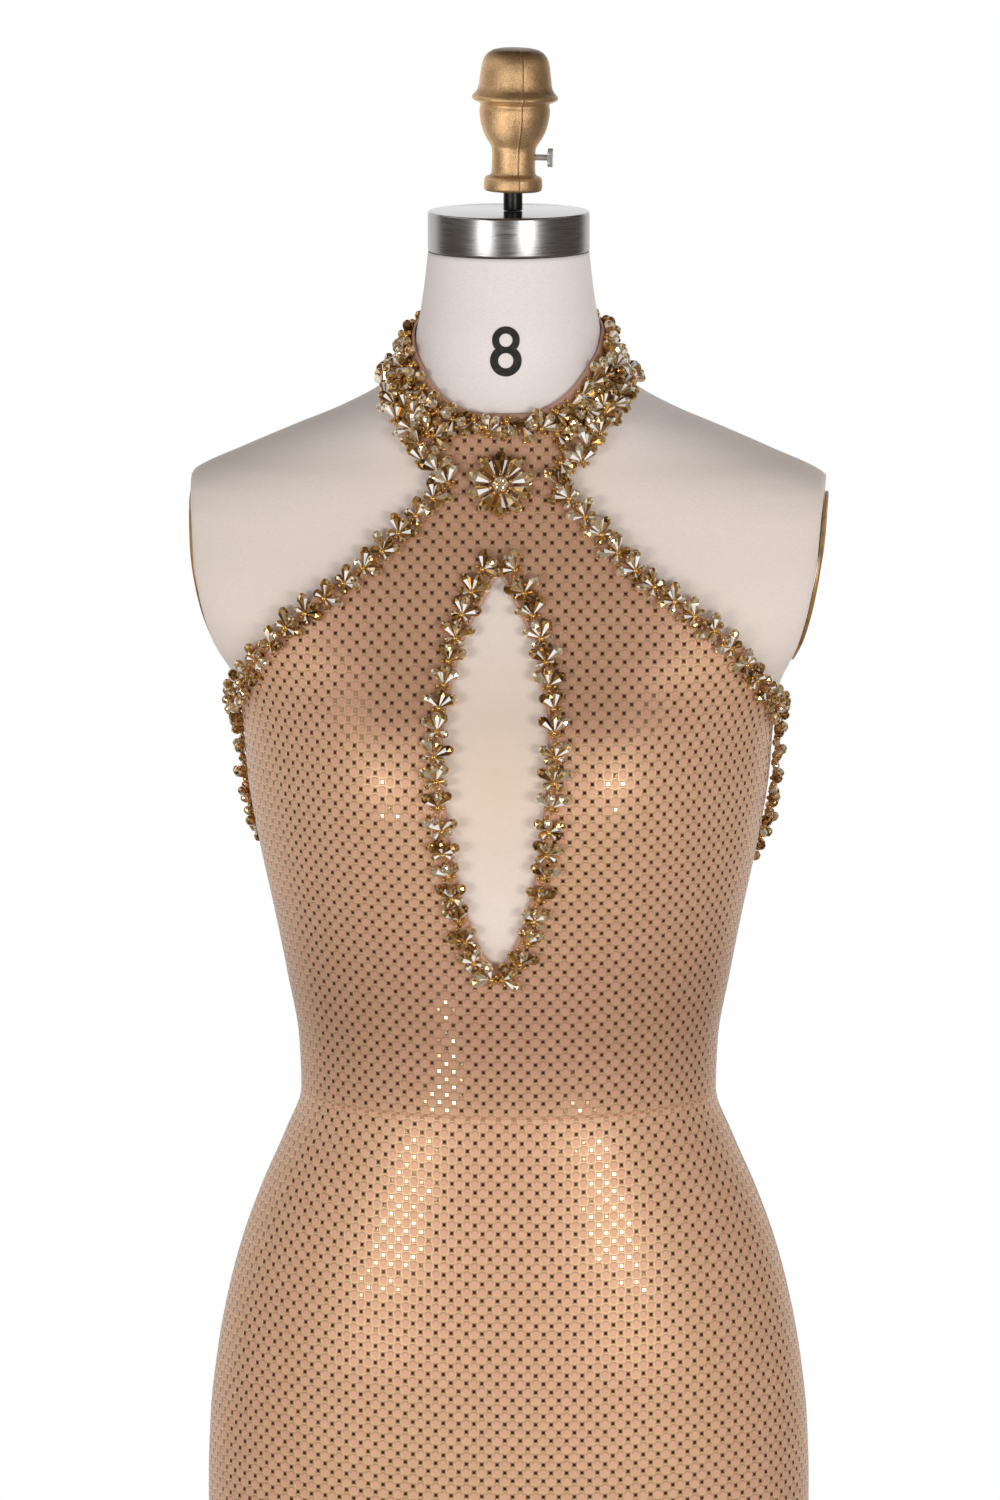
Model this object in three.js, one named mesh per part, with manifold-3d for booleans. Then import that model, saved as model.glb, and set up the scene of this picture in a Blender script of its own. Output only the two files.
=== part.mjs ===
// Halter evening gown of beaded net on a limbless dress form with a round stand.
// Millimetres, +Z up. The front of the gown faces -Y, and the pole stands on the Z axis.

import * as THREE from 'three';
import { mergeVertices } from 'three/addons/utils/BufferGeometryUtils.js';
import Module from 'manifold-3d';

const wasm = await Module();
wasm.setup();

// Driving heights
const BASE_THICK = 14;
const HEM_Z = 28;
const FORM_BOTTOM_Z = 780;
const HIP_Z = 870;
const WAIST_Z = 1110;
const NECK_SEAM_Z = 1474;
const NECK_TOP_Z = 1609;
const CAP_TOP_Z = 1632.6;

// Cloth and seams
const CLOTH_THICK = 1.4;
const SEAM_GAP = 0.3;
const TRIM_GAP = 0.6;

// Bead rows
const CLUSTER_PITCH = 14.2;
const EDGE_ROW = { width: 17, height: 8 };
const COLLAR_ROW = { width: 10.6, height: 6 };
const ROW_VALLEY_SHARE = 0.42;

// Stand, cap and finial
const POLE_RADIUS = 12.7;
const BASE_RADIUS = 175;
const CAP_RADIUS = 47.4;
const ROD_RADIUS = 5.6;
const FINIAL_X = 2.5;

const degrees = THREE.MathUtils.degToRad;

// A table has one row for each section; at(column, key) reads between rows on a smooth
// curve that never overshoots them.
function table(columns, rows) {
  const keys = rows.map((row) => row[0]);
  const slopes = columns.map((_, column) => curveSlopes(keys, rows.map((row) => row[column])));
  function at(column, key) {
    const c = columns.indexOf(column);
    let i = 0;
    while (i < keys.length - 2 && key > keys[i + 1]) i += 1;
    const span = keys[i + 1] - keys[i];
    const s = THREE.MathUtils.clamp((key - keys[i]) / span, 0, 1);
    const s2 = s * s;
    const s3 = s2 * s;
    return (2 * s3 - 3 * s2 + 1) * rows[i][c] + (s3 - 2 * s2 + s) * span * slopes[c][i]
      + (3 * s2 - 2 * s3) * rows[i + 1][c] + (s3 - s2) * span * slopes[c][i + 1];
  }
  return { keys, rows, at };
}

function curveSlopes(keys, values) {
  const last = keys.length - 1;
  const rise = values.slice(1).map((value, i) => (value - values[i]) / (keys[i + 1] - keys[i]));
  return values.map((_, i) => {
    if (i === 0) return rise[0];
    if (i === last) return rise[last - 1];
    if (rise[i - 1] * rise[i] <= 0) return 0;
    const before = keys[i] - keys[i - 1];
    const after = keys[i + 1] - keys[i];
    const w1 = 2 * after + before;
    const w2 = after + 2 * before;
    return (w1 + w2) / (w1 / rise[i - 1] + w2 / rise[i]);
  });
}

// Horizontal sections of the form: half width, depth in front of and behind the pole,
// and squareness, where 2 is an ellipse.
const FORM = table(['z', 'half', 'front', 'back', 'square'], [
  [780, 171, 100, 128, 2.2],
  [830, 175, 104, 133, 2.2],
  [870, 177.8, 107, 135, 2.2],
  [910, 176.3, 109, 132, 2.2],
  [950, 171.6, 109, 126, 2.2],
  [990, 163.8, 106, 118, 2.2],
  [1020, 155.5, 103, 110, 2.2],
  [1050, 144.5, 99, 102, 2.2],
  [1080, 131.5, 96.5, 95, 2.15],
  [1110, 121, 95, 90, 2.1],
  [1140, 122, 97.5, 90, 2.1],
  [1180, 128.6, 103, 94, 2.1],
  [1220, 136, 108.5, 98, 2.15],
  [1260, 144, 113, 102, 2.2],
  [1300, 150.5, 115.5, 104, 2.25],
  [1335, 153.5, 113, 106, 2.3],
  [1360, 163, 107, 108, 2.35],
  [1385, 182, 101, 110, 2.4],
  [1410, 196, 94, 111, 2.4],
  [1435, 202, 86, 109, 2.3],
  [1455, 202, 79, 105, 2.2],
  [1470, 196, 74, 100, 2.1],
  [1480, 184, 71, 96, 2],
  [1492, 158, 67, 90, 1.9],
  [1505, 128, 63.5, 82, 1.85],
  [1517, 99, 60.5, 74, 1.85],
  [1530, 75, 57.5, 66, 1.9],
  [1545, 59, 55, 60, 2],
  [1565, 53.5, 53.5, 55, 2],
  [1585, 50, 50.5, 50, 2],
  [1609, 47.2, 47.2, 47.2, 2],
]);

// The shoulders end at the arm plates, at this distance from the middle.
const ARM_END = table(['z', 'half'], [
  [1330, 400],
  [1354, 161],
  [1371, 167],
  [1383, 172],
  [1407, 178.5],
  [1431, 182.5],
  [1460, 185],
  [1480, 187.5],
  [1500, 400],
]);

// Below the hip the skirt leaves the form, falls straight and then flares to the hem.
const SKIRT = table(['z', 'half', 'front', 'back', 'flute'], [
  [28, 228, 222, 222, 9],
  [110, 216, 203, 203, 7],
  [230, 199, 177, 181, 4],
  [380, 184, 148, 156, 1.2],
  [520, 179, 130, 142, 0],
  [680, 178, 117, 137, 0],
  [870, 177.8, 107, 135, 0],
]);
const SKIRT_SQUARE = 2.2;
const FLUTES = 8;

// Space left between the form and the cloth over it
const EASE = table(['z', 'gap'], [
  [780, 0.8],
  [870, 0.8],
  [1000, 1.2],
  [1110, 1],
  [1200, 1.5],
  [1300, 2.2],
  [1400, 1.9],
  [1475, 1.2],
  [1530, 1.2],
  [1570, 0.5],
]);

const BUST = { x: 70, z: 1308, out: 19, wide: 44, above: 42, below: 50 };

// Edges of the gown
const SIDE_SEAM = 94;
const ARMHOLE_EDGE = table(['z', 'angle'], [
  [1284, 94],
  [1326, 94],
  [1335, 93],
  [1343, 89.5],
  [1350, 83.5],
  [1357, 76],
  [1369, 64],
  [1392, 46.9],
  [1402, 38.8],
  [1419, 30.2],
  [1439, 20.9],
  [1454, 17.4],
  [1466, 14.6],
  [1474, 12.9],
]);
const BACK_EDGE = table(['angle', 'z'], [
  [94, 1284],
  [101, 1267],
  [120, 1243],
  [140, 1217],
  [160, 1193],
  [180, 1179],
]);
const COLLAR_EDGES = table(['angle', 'low', 'top'], [
  [0, 1474.3, 1520],
  [8, 1474.3, 1520.2],
  [12.9, 1474.3, 1521.2],
  [16, 1484, 1522.4],
  [22, 1495, 1525.5],
  [30, 1504, 1530.5],
  [45, 1514, 1540],
  [65, 1525, 1551.5],
  [90, 1530, 1564.5],
  [130, 1531, 1569.5],
  [180, 1531, 1570],
]);
const KEYHOLE = table(['z', 'half'], [
  [1207, 0],
  [1212, 5],
  [1222, 9.5],
  [1238, 14.5],
  [1256, 18.5],
  [1275, 22],
  [1295, 24],
  [1320, 26.5],
  [1345, 26],
  [1365, 22.5],
  [1385, 18.5],
  [1400, 13],
  [1413, 6.5],
  [1427, 0],
]);

// Middle lines of the bead rows
const KEYHOLE_ROW = table(['z', 'half'], [
  [1196, 0],
  [1199, 7],
  [1208, 13.5],
  [1222, 18.5],
  [1240, 23.5],
  [1256, 27],
  [1275, 30.5],
  [1295, 32.5],
  [1320, 35],
  [1345, 34.5],
  [1365, 31],
  [1385, 27],
  [1400, 22.5],
  [1414, 17],
  [1427, 11.5],
  [1434, 6],
  [1437, 0],
]);
const ARMHOLE_ROW = [
  { angle: 11.4, z: 1468 },
  { angle: 15.2, z: 1449 },
  { angle: 20, z: 1429 },
  { angle: 27.5, z: 1412 },
  { angle: 36.6, z: 1396.5 },
  { angle: 43.7, z: 1385 },
  { angle: 63.5, z: 1361 },
  { angle: 80, z: 1345 },
  { angle: 87, z: 1337 },
  { angle: 90.2, z: 1325 },
  { angle: 90.8, z: 1308 },
  { angle: 91.3, z: 1291 },
  { angle: 94, z: 1274 },
  { angle: 100, z: 1259 },
  { angle: 118, z: 1236 },
  { angle: 138, z: 1210 },
  { angle: 158, z: 1186.5 },
  { angle: 178, z: 1171 },
];

// Surfaces. angle is measured in degrees from the middle of the front towards +X.
function section(angle, half, front, back, square) {
  const s = Math.sin(degrees(angle));
  const c = Math.cos(degrees(angle));
  const x = half * Math.sign(s) * Math.abs(s) ** (2 / square);
  const depth = c > 0 ? front : back;
  const y = -depth * Math.sign(c) * Math.abs(c) ** (2 / square);
  return new THREE.Vector3(x, y, 0);
}

function bustOut(x, z, angle) {
  const facing = THREE.MathUtils.clamp(3 * Math.cos(degrees(angle)), 0, 1);
  const tall = z > BUST.z ? BUST.above : BUST.below;
  const level = Math.exp(-(((z - BUST.z) / tall) ** 2) / 2);
  const side = (sign) => Math.exp(-(((x - sign * BUST.x) / BUST.wide) ** 2) / 2);
  return BUST.out * facing * level * (side(1) + side(-1));
}

function formPoint(angle, z) {
  const read = (column) => FORM.at(column, z);
  const point = section(angle, read('half'), read('front'), read('back'), read('square'));
  point.y -= bustOut(point.x, z, angle);
  if (z > ARM_END.keys[0] && z < ARM_END.keys.at(-1)) {
    const end = ARM_END.at('half', z);
    point.x = THREE.MathUtils.clamp(point.x, -end, end);
  }
  point.z = z;
  return point;
}

function skirtPoint(angle, z) {
  if (z >= HIP_Z) return formPoint(angle, z);
  const read = (column) => SKIRT.at(column, z);
  const point = section(angle, read('half'), read('front'), read('back'), SKIRT_SQUARE);
  const turn = degrees(angle);
  const wave = Math.cos(FLUTES * turn + 0.6 * Math.sin(4 * turn)) * (1 + 0.25 * Math.cos(2 * turn));
  const flat = Math.hypot(point.x, point.y);
  point.multiplyScalar(1 + (read('flute') * wave) / flat);
  point.z = z;
  return point;
}

// The point moved out of the surface by a distance, along the surface's own normal
function movedOut(surface, angle, z, distance) {
  const step = 0.4;
  const across = surface(angle + step, z).sub(surface(angle - step, z));
  const up = surface(angle, z + step).sub(surface(angle, z - step));
  const normal = across.cross(up).normalize();
  return { point: surface(angle, z).addScaledVector(normal, distance), normal };
}

function clothInner(angle, z) {
  return movedOut(skirtPoint, angle, z, EASE.at('gap', z)).point;
}

function clothOuter(angle, z, above = 0) {
  return movedOut(skirtPoint, angle, z, EASE.at('gap', z) + CLOTH_THICK + above).point;
}

// The angle at which the form's section has this distance from the middle
function angleAtX(x, z) {
  const share = Math.abs(x) / FORM.at('half', z);
  const angle = Math.asin(share ** (FORM.at('square', z) / 2));
  return Math.sign(x) * THREE.MathUtils.radToDeg(angle);
}

// Mesh helpers
function solidFrom(points, faces) {
  const geometry = new THREE.BufferGeometry();
  const positions = points.flatMap((point) => [point.x, point.y, point.z]);
  geometry.setAttribute('position', new THREE.Float32BufferAttribute(positions, 3));
  geometry.setIndex(faces.flat());
  return withoutSlivers(mergeVertices(geometry, 1e-3));
}

function withoutSlivers(geometry) {
  const index = geometry.index.array;
  const kept = [];
  for (let i = 0; i < index.length; i += 3) {
    const [a, b, c] = index.slice(i, i + 3);
    if (a !== b && b !== c && c !== a) kept.push(a, b, c);
  }
  geometry.setIndex(kept);
  geometry.computeVertexNormals();
  return geometry;
}

function quad(a, b, c, d) {
  return [[a, b, c], [a, c, d]];
}

// Adds one stretch of cloth wall. at(row, column) gives its outer and inner points, and
// walled says in which rows its first and its last column are closed.
function addWall(build, rows, columns, at, walled) {
  const start = build.points.length;
  for (let row = 0; row <= rows; row += 1) {
    for (let column = 0; column <= columns; column += 1) build.points.push(...at(row, column));
  }
  const outer = (row, column) => start + 2 * (row * (columns + 1) + column);
  const inner = (row, column) => outer(row, column) + 1;
  for (let row = 0; row < rows; row += 1) {
    for (let column = 0; column < columns; column += 1) {
      const corners = [[row, column], [row, column + 1], [row + 1, column + 1], [row + 1, column]];
      const [a, b, c, d] = corners.map(([r, k]) => outer(r, k));
      const [e, f, g, h] = corners.map(([r, k]) => inner(r, k));
      build.faces.push(...quad(a, b, c, d), ...quad(e, h, g, f));
    }
    if (walled.first(row)) {
      build.faces.push(...quad(outer(row, 0), outer(row + 1, 0), inner(row + 1, 0), inner(row, 0)));
    }
    if (walled.last(row)) {
      const k = columns;
      build.faces.push(...quad(outer(row, k), inner(row, k), inner(row + 1, k), outer(row + 1, k)));
    }
  }
  for (let column = 0; column < columns; column += 1) {
    const next = column + 1;
    build.faces.push(...quad(outer(0, column), inner(0, column), inner(0, next), outer(0, next)));
    build.faces.push(
      ...quad(outer(rows, column), outer(rows, next), inner(rows, next), inner(rows, column)));
  }
}

// A panel of cloth. cell(row, share) gives the angle and height of each of its points.
function clothPanel(rows, columns, cell) {
  const build = { points: [], faces: [] };
  const at = (row, column) => {
    const { angle, z } = cell(row, column / columns);
    return [clothOuter(angle, z), clothInner(angle, z)];
  };
  addWall(build, rows, columns, at, { first: () => true, last: () => true });
  return solidFrom(build.points, build.faces);
}

// A closed solid through rings of points, with flat ends
function solidThroughRings(rings) {
  const points = rings.flat();
  const count = rings[0].length;
  const faces = [];
  for (let ring = 0; ring < rings.length - 1; ring += 1) {
    for (let i = 0; i < count; i += 1) {
      const next = (i + 1) % count;
      const low = ring * count;
      faces.push(...quad(low + i, low + next, low + count + next, low + count + i));
    }
  }
  const centre = (ring) => ring
    .reduce((sum, point) => sum.add(point), new THREE.Vector3())
    .divideScalar(count);
  points.push(centre(rings[0]), centre(rings.at(-1)));
  const top = (rings.length - 1) * count;
  for (let i = 0; i < count; i += 1) {
    const next = (i + 1) % count;
    faces.push([points.length - 2, next, i], [points.length - 1, top + i, top + next]);
  }
  return solidFrom(points, faces);
}

function turned(profile, segments) {
  const geometry = new THREE.LatheGeometry(profile.map(([r, z]) => new THREE.Vector2(r, z)), segments);
  geometry.rotateX(Math.PI / 2);
  geometry.deleteAttribute('normal');
  geometry.deleteAttribute('uv');
  return withoutSlivers(mergeVertices(geometry, 1e-3));
}

function cut(geometry, tool) {
  const [body, cutter] = [geometry, tool].map((shape) => {
    const bare = shape.clone();
    bare.deleteAttribute('normal');
    bare.deleteAttribute('uv');
    const merged = mergeVertices(bare, 1e-4);
    return new wasm.Manifold(new wasm.Mesh({
      numProp: 3,
      vertProperties: Float32Array.from(merged.attributes.position.array),
      triVerts: Uint32Array.from(merged.index.array),
    }));
  });
  const mesh = body.subtract(cutter).getMesh();
  const result = new THREE.BufferGeometry();
  result.setAttribute('position', new THREE.BufferAttribute(Float32Array.from(mesh.vertProperties), 3));
  result.setIndex(Array.from(mesh.triVerts));
  return result;
}

// Materials
const finish = (color, roughness, metalness) => (
  new THREE.MeshStandardMaterial({ color, roughness, metalness }));
const linen = finish(0xe2d7d3, 0.9, 0);
const net = finish(0xb98d70, 0.55, 0.1);
const crystal = finish(0xc9a45c, 0.15, 0.8);
const goldPaint = finish(0xcfa881, 0.4, 0.6);
const brushedSteel = finish(0x9a9794, 0.3, 1);
const blackSteel = finish(0x1c1b1b, 0.4, 0.7);
const nickel = finish(0xb5b1aa, 0.25, 1);
const brass = finish(0x9c7440, 0.35, 0.9);

const gown = new THREE.Group();

function piece(name, geometry, material) {
  const mesh = new THREE.Mesh(geometry, material);
  mesh.name = name;
  return mesh;
}

function add(name, geometry, material) {
  const mesh = piece(name, geometry, material);
  gown.add(mesh);
  return mesh;
}

function between(low, high, share) {
  return low + (high - low) * share;
}

function steps(low, high, count) {
  return Array.from({ length: count + 1 }, (_, i) => between(low, high, i / count));
}

// Dress form: padded torso without limbs, from below the hip to the top of the neck
const FORM_COLUMNS = 40;
const FORM_LEVELS = [
  ...FORM.keys.filter((z) => z < 1335),
  1280, 1322, 1335, 1347, 1357, 1366, 1378, 1390, 1402, 1420, 1438, 1455, 1468, 1476,
  ...steps(1482, 1530, 6), 1537, 1545, 1565, 1585, NECK_TOP_Z,
].sort((low, high) => low - high);

function torso() {
  const turn = steps(0, 360, FORM_COLUMNS).slice(0, -1);
  return solidThroughRings(FORM_LEVELS.map((z) => turn.map((angle) => formPoint(angle, z))));
}
add('form_torso', torso(), linen);

// Oval plate on each arm end, which follows the end's slight curve
const PLATE = { z: 1418, y: 5, tall: 50, deep: 40, gap: 0.7, thick: 1.8, rings: 4, segments: 24 };

function armPlate(side) {
  const at = (share, angle, out) => {
    const z = PLATE.z + PLATE.tall * share * Math.cos(angle);
    const y = PLATE.y + side * PLATE.deep * share * Math.sin(angle);
    return new THREE.Vector3(side * (ARM_END.at('half', z) + out), y, z);
  };
  const turn = steps(0, 2 * Math.PI, PLATE.segments).slice(0, -1).reverse();
  const shares = steps(0, 1, PLATE.rings).slice(1);
  const rings = [
    ...shares.map((share) => turn.map((angle) => at(share, angle, PLATE.gap))),
    ...shares.toReversed().map((share) => (
      turn.map((angle) => at(share, angle, PLATE.gap + PLATE.thick)))),
  ];
  return solidThroughRings(rings);
}
add('arm_plate_right', armPlate(1), brass);
add('arm_plate_left', armPlate(-1), brass);

// Neck cap, rod and finial, all turned
function neckCap() {
  const low = NECK_TOP_Z + SEAM_GAP;
  const bevel = 2;
  return turned([
    [0, low], [CAP_RADIUS, low], [CAP_RADIUS, CAP_TOP_Z - bevel],
    [CAP_RADIUS - 0.6, CAP_TOP_Z - 0.6], [CAP_RADIUS - bevel, CAP_TOP_Z], [0, CAP_TOP_Z],
  ], 40);
}
add('neck_cap', neckCap(), brushedSteel);

const FINIAL_Z = 1644.3;
const FINIAL_LEAN = 0.022;
const ROD_TOP_Z = FINIAL_Z - SEAM_GAP;
const rod = add('neck_rod', turned([
  [0, CAP_TOP_Z + SEAM_GAP], [ROD_RADIUS, CAP_TOP_Z + SEAM_GAP], [ROD_RADIUS, ROD_TOP_Z],
  [0, ROD_TOP_Z],
], 20), blackSteel);
rod.position.x = FINIAL_X;

// The finial's own heights are measured from its foot. It leans a little towards +X.
const finialStand = new THREE.Group();
finialStand.position.set(FINIAL_X, 0, FINIAL_Z);
finialStand.rotation.y = FINIAL_LEAN;
gown.add(finialStand);

const SCREW = { z: 20, shaft: 1.8, inner: 4, neck: 20, head: 5.5, length: 23, bevel: 0.6 };
const CROSS_HOLE = { radius: 2.2, reach: 20 };

function finial() {
  const body = turned([
    [0, 0], [17.1, 0], [17.1, 8.3], [13, 9.7], [13, 26.2], [15.7, 29.7], [19.1, 35.7],
    [20.4, 43], [20.6, 49.6], [20, 51], [25.3, 53.4], [25.2, 55.6], [22.2, 58.8],
    [20.6, 67], [19.2, 76], [17, 80], [13.2, 82.4], [7.5, 83.4], [0, 83.6],
  ], 24);
  const hole = turned([
    [0, -CROSS_HOLE.reach], [CROSS_HOLE.radius, -CROSS_HOLE.reach],
    [CROSS_HOLE.radius, CROSS_HOLE.reach], [0, CROSS_HOLE.reach],
  ], 12);
  hole.rotateY(Math.PI / 2);
  hole.translate(0, 0, SCREW.z);
  return cut(body, hole);
}
finialStand.add(piece('finial', finial(), goldPaint));

function finialScrew() {
  const screw = turned([
    [0, SCREW.inner], [SCREW.shaft, SCREW.inner], [SCREW.shaft, SCREW.neck],
    [SCREW.head - SCREW.bevel, SCREW.neck], [SCREW.head, SCREW.neck + SCREW.bevel],
    [SCREW.head, SCREW.length - SCREW.bevel], [SCREW.head - SCREW.bevel, SCREW.length],
    [0, SCREW.length],
  ], 16);
  screw.rotateY(Math.PI / 2);
  screw.translate(0, 0, SCREW.z);
  return screw;
}
finialStand.add(piece('finial_screw', finialScrew(), nickel));

// Stand below the form
const HUB = { radius: 34, tall: 40, foot: 8, neck: 8, bevel: 3 };
const FLANGE = { radius: 45, thick: 6 };
const BASE_EDGE = 5;

const rounded = 0.3 * BASE_EDGE;
add('stand_base', turned([
  [0, 0], [BASE_RADIUS, 0], [BASE_RADIUS, BASE_THICK - BASE_EDGE],
  [BASE_RADIUS - rounded, BASE_THICK - rounded], [BASE_RADIUS - BASE_EDGE, BASE_THICK],
  [0, BASE_THICK],
], 40), blackSteel);

const hubLow = BASE_THICK + SEAM_GAP;
const hubTop = hubLow + HUB.tall;
const hubNeck = POLE_RADIUS + HUB.neck;
add('stand_hub', turned([
  [0, hubLow], [HUB.radius, hubLow], [HUB.radius, hubLow + HUB.foot],
  [hubNeck, hubTop - HUB.bevel], [hubNeck - HUB.bevel, hubTop], [0, hubTop],
], 28), blackSteel);

const flangeTop = FORM_BOTTOM_Z - SEAM_GAP;
const flangeLow = flangeTop - FLANGE.thick;
add('pole_flange', turned([
  [0, flangeLow], [FLANGE.radius, flangeLow], [FLANGE.radius, flangeTop], [0, flangeTop],
], 28), blackSteel);
add('stand_pole', turned([
  [0, hubTop + SEAM_GAP], [POLE_RADIUS, hubTop + SEAM_GAP],
  [POLE_RADIUS, flangeLow - SEAM_GAP], [0, flangeLow - SEAM_GAP],
], 24), blackSteel);

// Skirt, in a front and a back with seams at the sides
const SKIRT_COLUMNS = 20;
const SKIRT_LEVELS = [
  HEM_Z, 60, 110, 170, 230, 300, 380, 480, 620, 780, 870, 910, 950, 990, 1020, 1050,
  1080, WAIST_Z - SEAM_GAP / 2,
];
const sideGap = 0.08;

function skirtPanel(middle) {
  const half = 90 - sideGap;
  return clothPanel(SKIRT_LEVELS.length - 1, SKIRT_COLUMNS, (row, share) => (
    { angle: between(middle - half, middle + half, share), z: SKIRT_LEVELS[row] }));
}
add('skirt_front', skirtPanel(0), net);
add('skirt_back', skirtPanel(180), net);

// Bodice front: one panel up to the collar, with the keyhole in its middle
const BODICE_COLUMNS = 11;
const BODICE_LEVELS = [
  WAIST_Z + SEAM_GAP / 2, 1130, 1150, 1172, 1190, ...KEYHOLE.keys, 1308, 1333, 1356, 1375,
  1439, 1454, 1466, NECK_SEAM_Z,
].sort((low, high) => low - high);

function bodiceEdge(z) {
  return z < ARMHOLE_EDGE.keys[0] ? SIDE_SEAM - sideGap : ARMHOLE_EDGE.at('angle', z);
}

function keyholeEdge(z) {
  const inside = z > KEYHOLE.keys[0] && z < KEYHOLE.keys.at(-1);
  return inside ? angleAtX(KEYHOLE.at('half', z), z) : 0;
}

function bodiceFront() {
  const build = { points: [], faces: [] };
  const levels = BODICE_LEVELS;
  const rows = levels.length - 1;
  const open = (row) => keyholeEdge(levels[row]) + keyholeEdge(levels[row + 1]) > 0;
  const halfPanel = (side) => (row, column) => {
    const share = column / BODICE_COLUMNS;
    const z = levels[row];
    const [first, last] = side < 0
      ? [-bodiceEdge(z), -keyholeEdge(z)]
      : [keyholeEdge(z), bodiceEdge(z)];
    const angle = between(first, last, share);
    return [clothOuter(angle, z), clothInner(angle, z)];
  };
  addWall(build, rows, BODICE_COLUMNS, halfPanel(-1), { first: () => true, last: open });
  addWall(build, rows, BODICE_COLUMNS, halfPanel(1), { first: open, last: () => true });
  return solidFrom(build.points, build.faces);
}
add('bodice_front', bodiceFront(), net);

// Bodice back: low, between the side seams
const BACK_ROWS = 6;
const BACK_COLUMNS = 20;

function bodiceBack() {
  const half = 180 - SIDE_SEAM - sideGap;
  return clothPanel(BACK_ROWS, BACK_COLUMNS, (row, share) => {
    const angle = between(180 - half, 180 + half, share);
    const top = BACK_EDGE.at('z', 180 - Math.abs(180 - angle));
    return { angle, z: between(WAIST_Z + SEAM_GAP / 2, top, row / BACK_ROWS) };
  });
}
add('bodice_back', bodiceBack(), net);

// Collar: a shaped band from one end at the centre back round to the other
const COLLAR_END = 179.5;
const COLLAR_ROWS = 5;
const COLLAR_COLUMNS = 40;

function collar() {
  return clothPanel(COLLAR_ROWS, COLLAR_COLUMNS, (row, share) => {
    const angle = between(-COLLAR_END, COLLAR_END, share);
    const low = COLLAR_EDGES.at('low', Math.abs(angle));
    const top = COLLAR_EDGES.at('top', Math.abs(angle));
    return { angle, z: between(low, top, row / COLLAR_ROWS) };
  });
}
add('collar', collar(), net);

// Bead rows: a band on the cloth, raised in one lump for each cluster of stones
const ROW_SECTION = [
  { across: -0.5, rise: 0 },
  { across: 0, rise: 0 },
  { across: 0.5, rise: 0 },
  { across: 0.5, rise: 0.35 },
  { across: 0, rise: 1 },
  { across: -0.5, rise: 0.35 },
];

// The cloth's point that lies a distance across the row from a station on it
function acrossRow(station, next, distance) {
  const step = 0.2;
  const { angle, z } = station;
  const here = clothOuter(angle, z);
  const byAngle = clothOuter(angle + step, z).sub(here).divideScalar(step);
  const byHeight = clothOuter(angle, z + step).sub(here).divideScalar(step);
  const along = clothOuter(next.angle, next.z).sub(clothOuter(station.before.angle, station.before.z));
  const normal = byAngle.clone().cross(byHeight).normalize();
  const side = normal.cross(along.normalize()).multiplyScalar(distance);
  const aa = byAngle.dot(byAngle);
  const ab = byAngle.dot(byHeight);
  const bb = byHeight.dot(byHeight);
  const determinant = aa * bb - ab * ab;
  return {
    angle: angle + (side.dot(byAngle) * bb - side.dot(byHeight) * ab) / determinant,
    z: z + (side.dot(byHeight) * aa - side.dot(byAngle) * ab) / determinant,
  };
}

// Stations at even distances along a smooth path on the cloth, two for each cluster
const PATH_STEPS = 600;

function stationsAlong(path, closed) {
  const curve = new THREE.CatmullRomCurve3(
    path.map(({ angle, z }) => new THREE.Vector3(angle, z, 0)), closed, 'centripetal');
  const fine = curve.getPoints(PATH_STEPS).map((point) => ({ angle: point.x, z: point.y }));
  const lengths = [0];
  for (let i = 1; i < fine.length; i += 1) {
    const from = clothOuter(fine[i - 1].angle, fine[i - 1].z);
    lengths.push(lengths[i - 1] + from.distanceTo(clothOuter(fine[i].angle, fine[i].z)));
  }
  const clusters = Math.round(lengths.at(-1) / CLUSTER_PITCH);
  const wanted = steps(0, lengths.at(-1), 2 * clusters);
  if (closed) wanted.pop();
  const found = wanted.map((length) => (
    { ...fine[lengths.findIndex((value) => value >= length - 1e-6)] }));
  found.forEach((station, i) => {
    const last = found.length - 1;
    station.before = closed ? found[(i + last) % found.length] : found[Math.max(0, i - 1)];
    station.after = closed ? found[(i + 1) % found.length] : found[Math.min(last, i + 1)];
  });
  return found;
}

function beadRow(path, { width, height }, closed = false) {
  const stations = stationsAlong(path, closed);
  const rings = stations.map((station, i) => {
    const lump = height * (i % 2 ? 1 : ROW_VALLEY_SHARE);
    return ROW_SECTION.map(({ across, rise }) => {
      const { angle, z } = acrossRow(station, station.after, across * width);
      return clothOuter(angle, z, TRIM_GAP + rise * lump);
    });
  });
  return closed ? closedTube(rings) : solidThroughRings(rings);
}

function closedTube(rings) {
  const count = rings[0].length;
  const faces = [];
  rings.forEach((_, ring) => {
    const low = ring * count;
    const high = ((ring + 1) % rings.length) * count;
    for (let i = 0; i < count; i += 1) {
      const next = (i + 1) % count;
      faces.push(...quad(low + i, low + next, high + next, high + i));
    }
  });
  return solidFrom(rings.flat(), faces);
}

const mirrored = (path) => path.map(({ angle, z }) => ({ angle: -angle, z })).toReversed();

// Three rows lie between the collar's edges. The low one starts where the armhole rows end.
const ROW_END = 170;
const LOW_ROW_START = 17;
const MIDDLE_ROW_START = 94;
const TOP_INSET = 6.4;
const LOW_INSET = 6;
const topRowZ = (angle) => COLLAR_EDGES.at('top', Math.abs(angle)) - TOP_INSET;
const lowRowZ = (angle) => COLLAR_EDGES.at('low', angle) + LOW_INSET;
const middleRowZ = (angle) => (topRowZ(angle) + lowRowZ(angle)) / 2;

function collarRow(first, last, height) {
  return steps(first, last, 16).map((angle) => ({ angle, z: height(angle) }));
}

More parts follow.
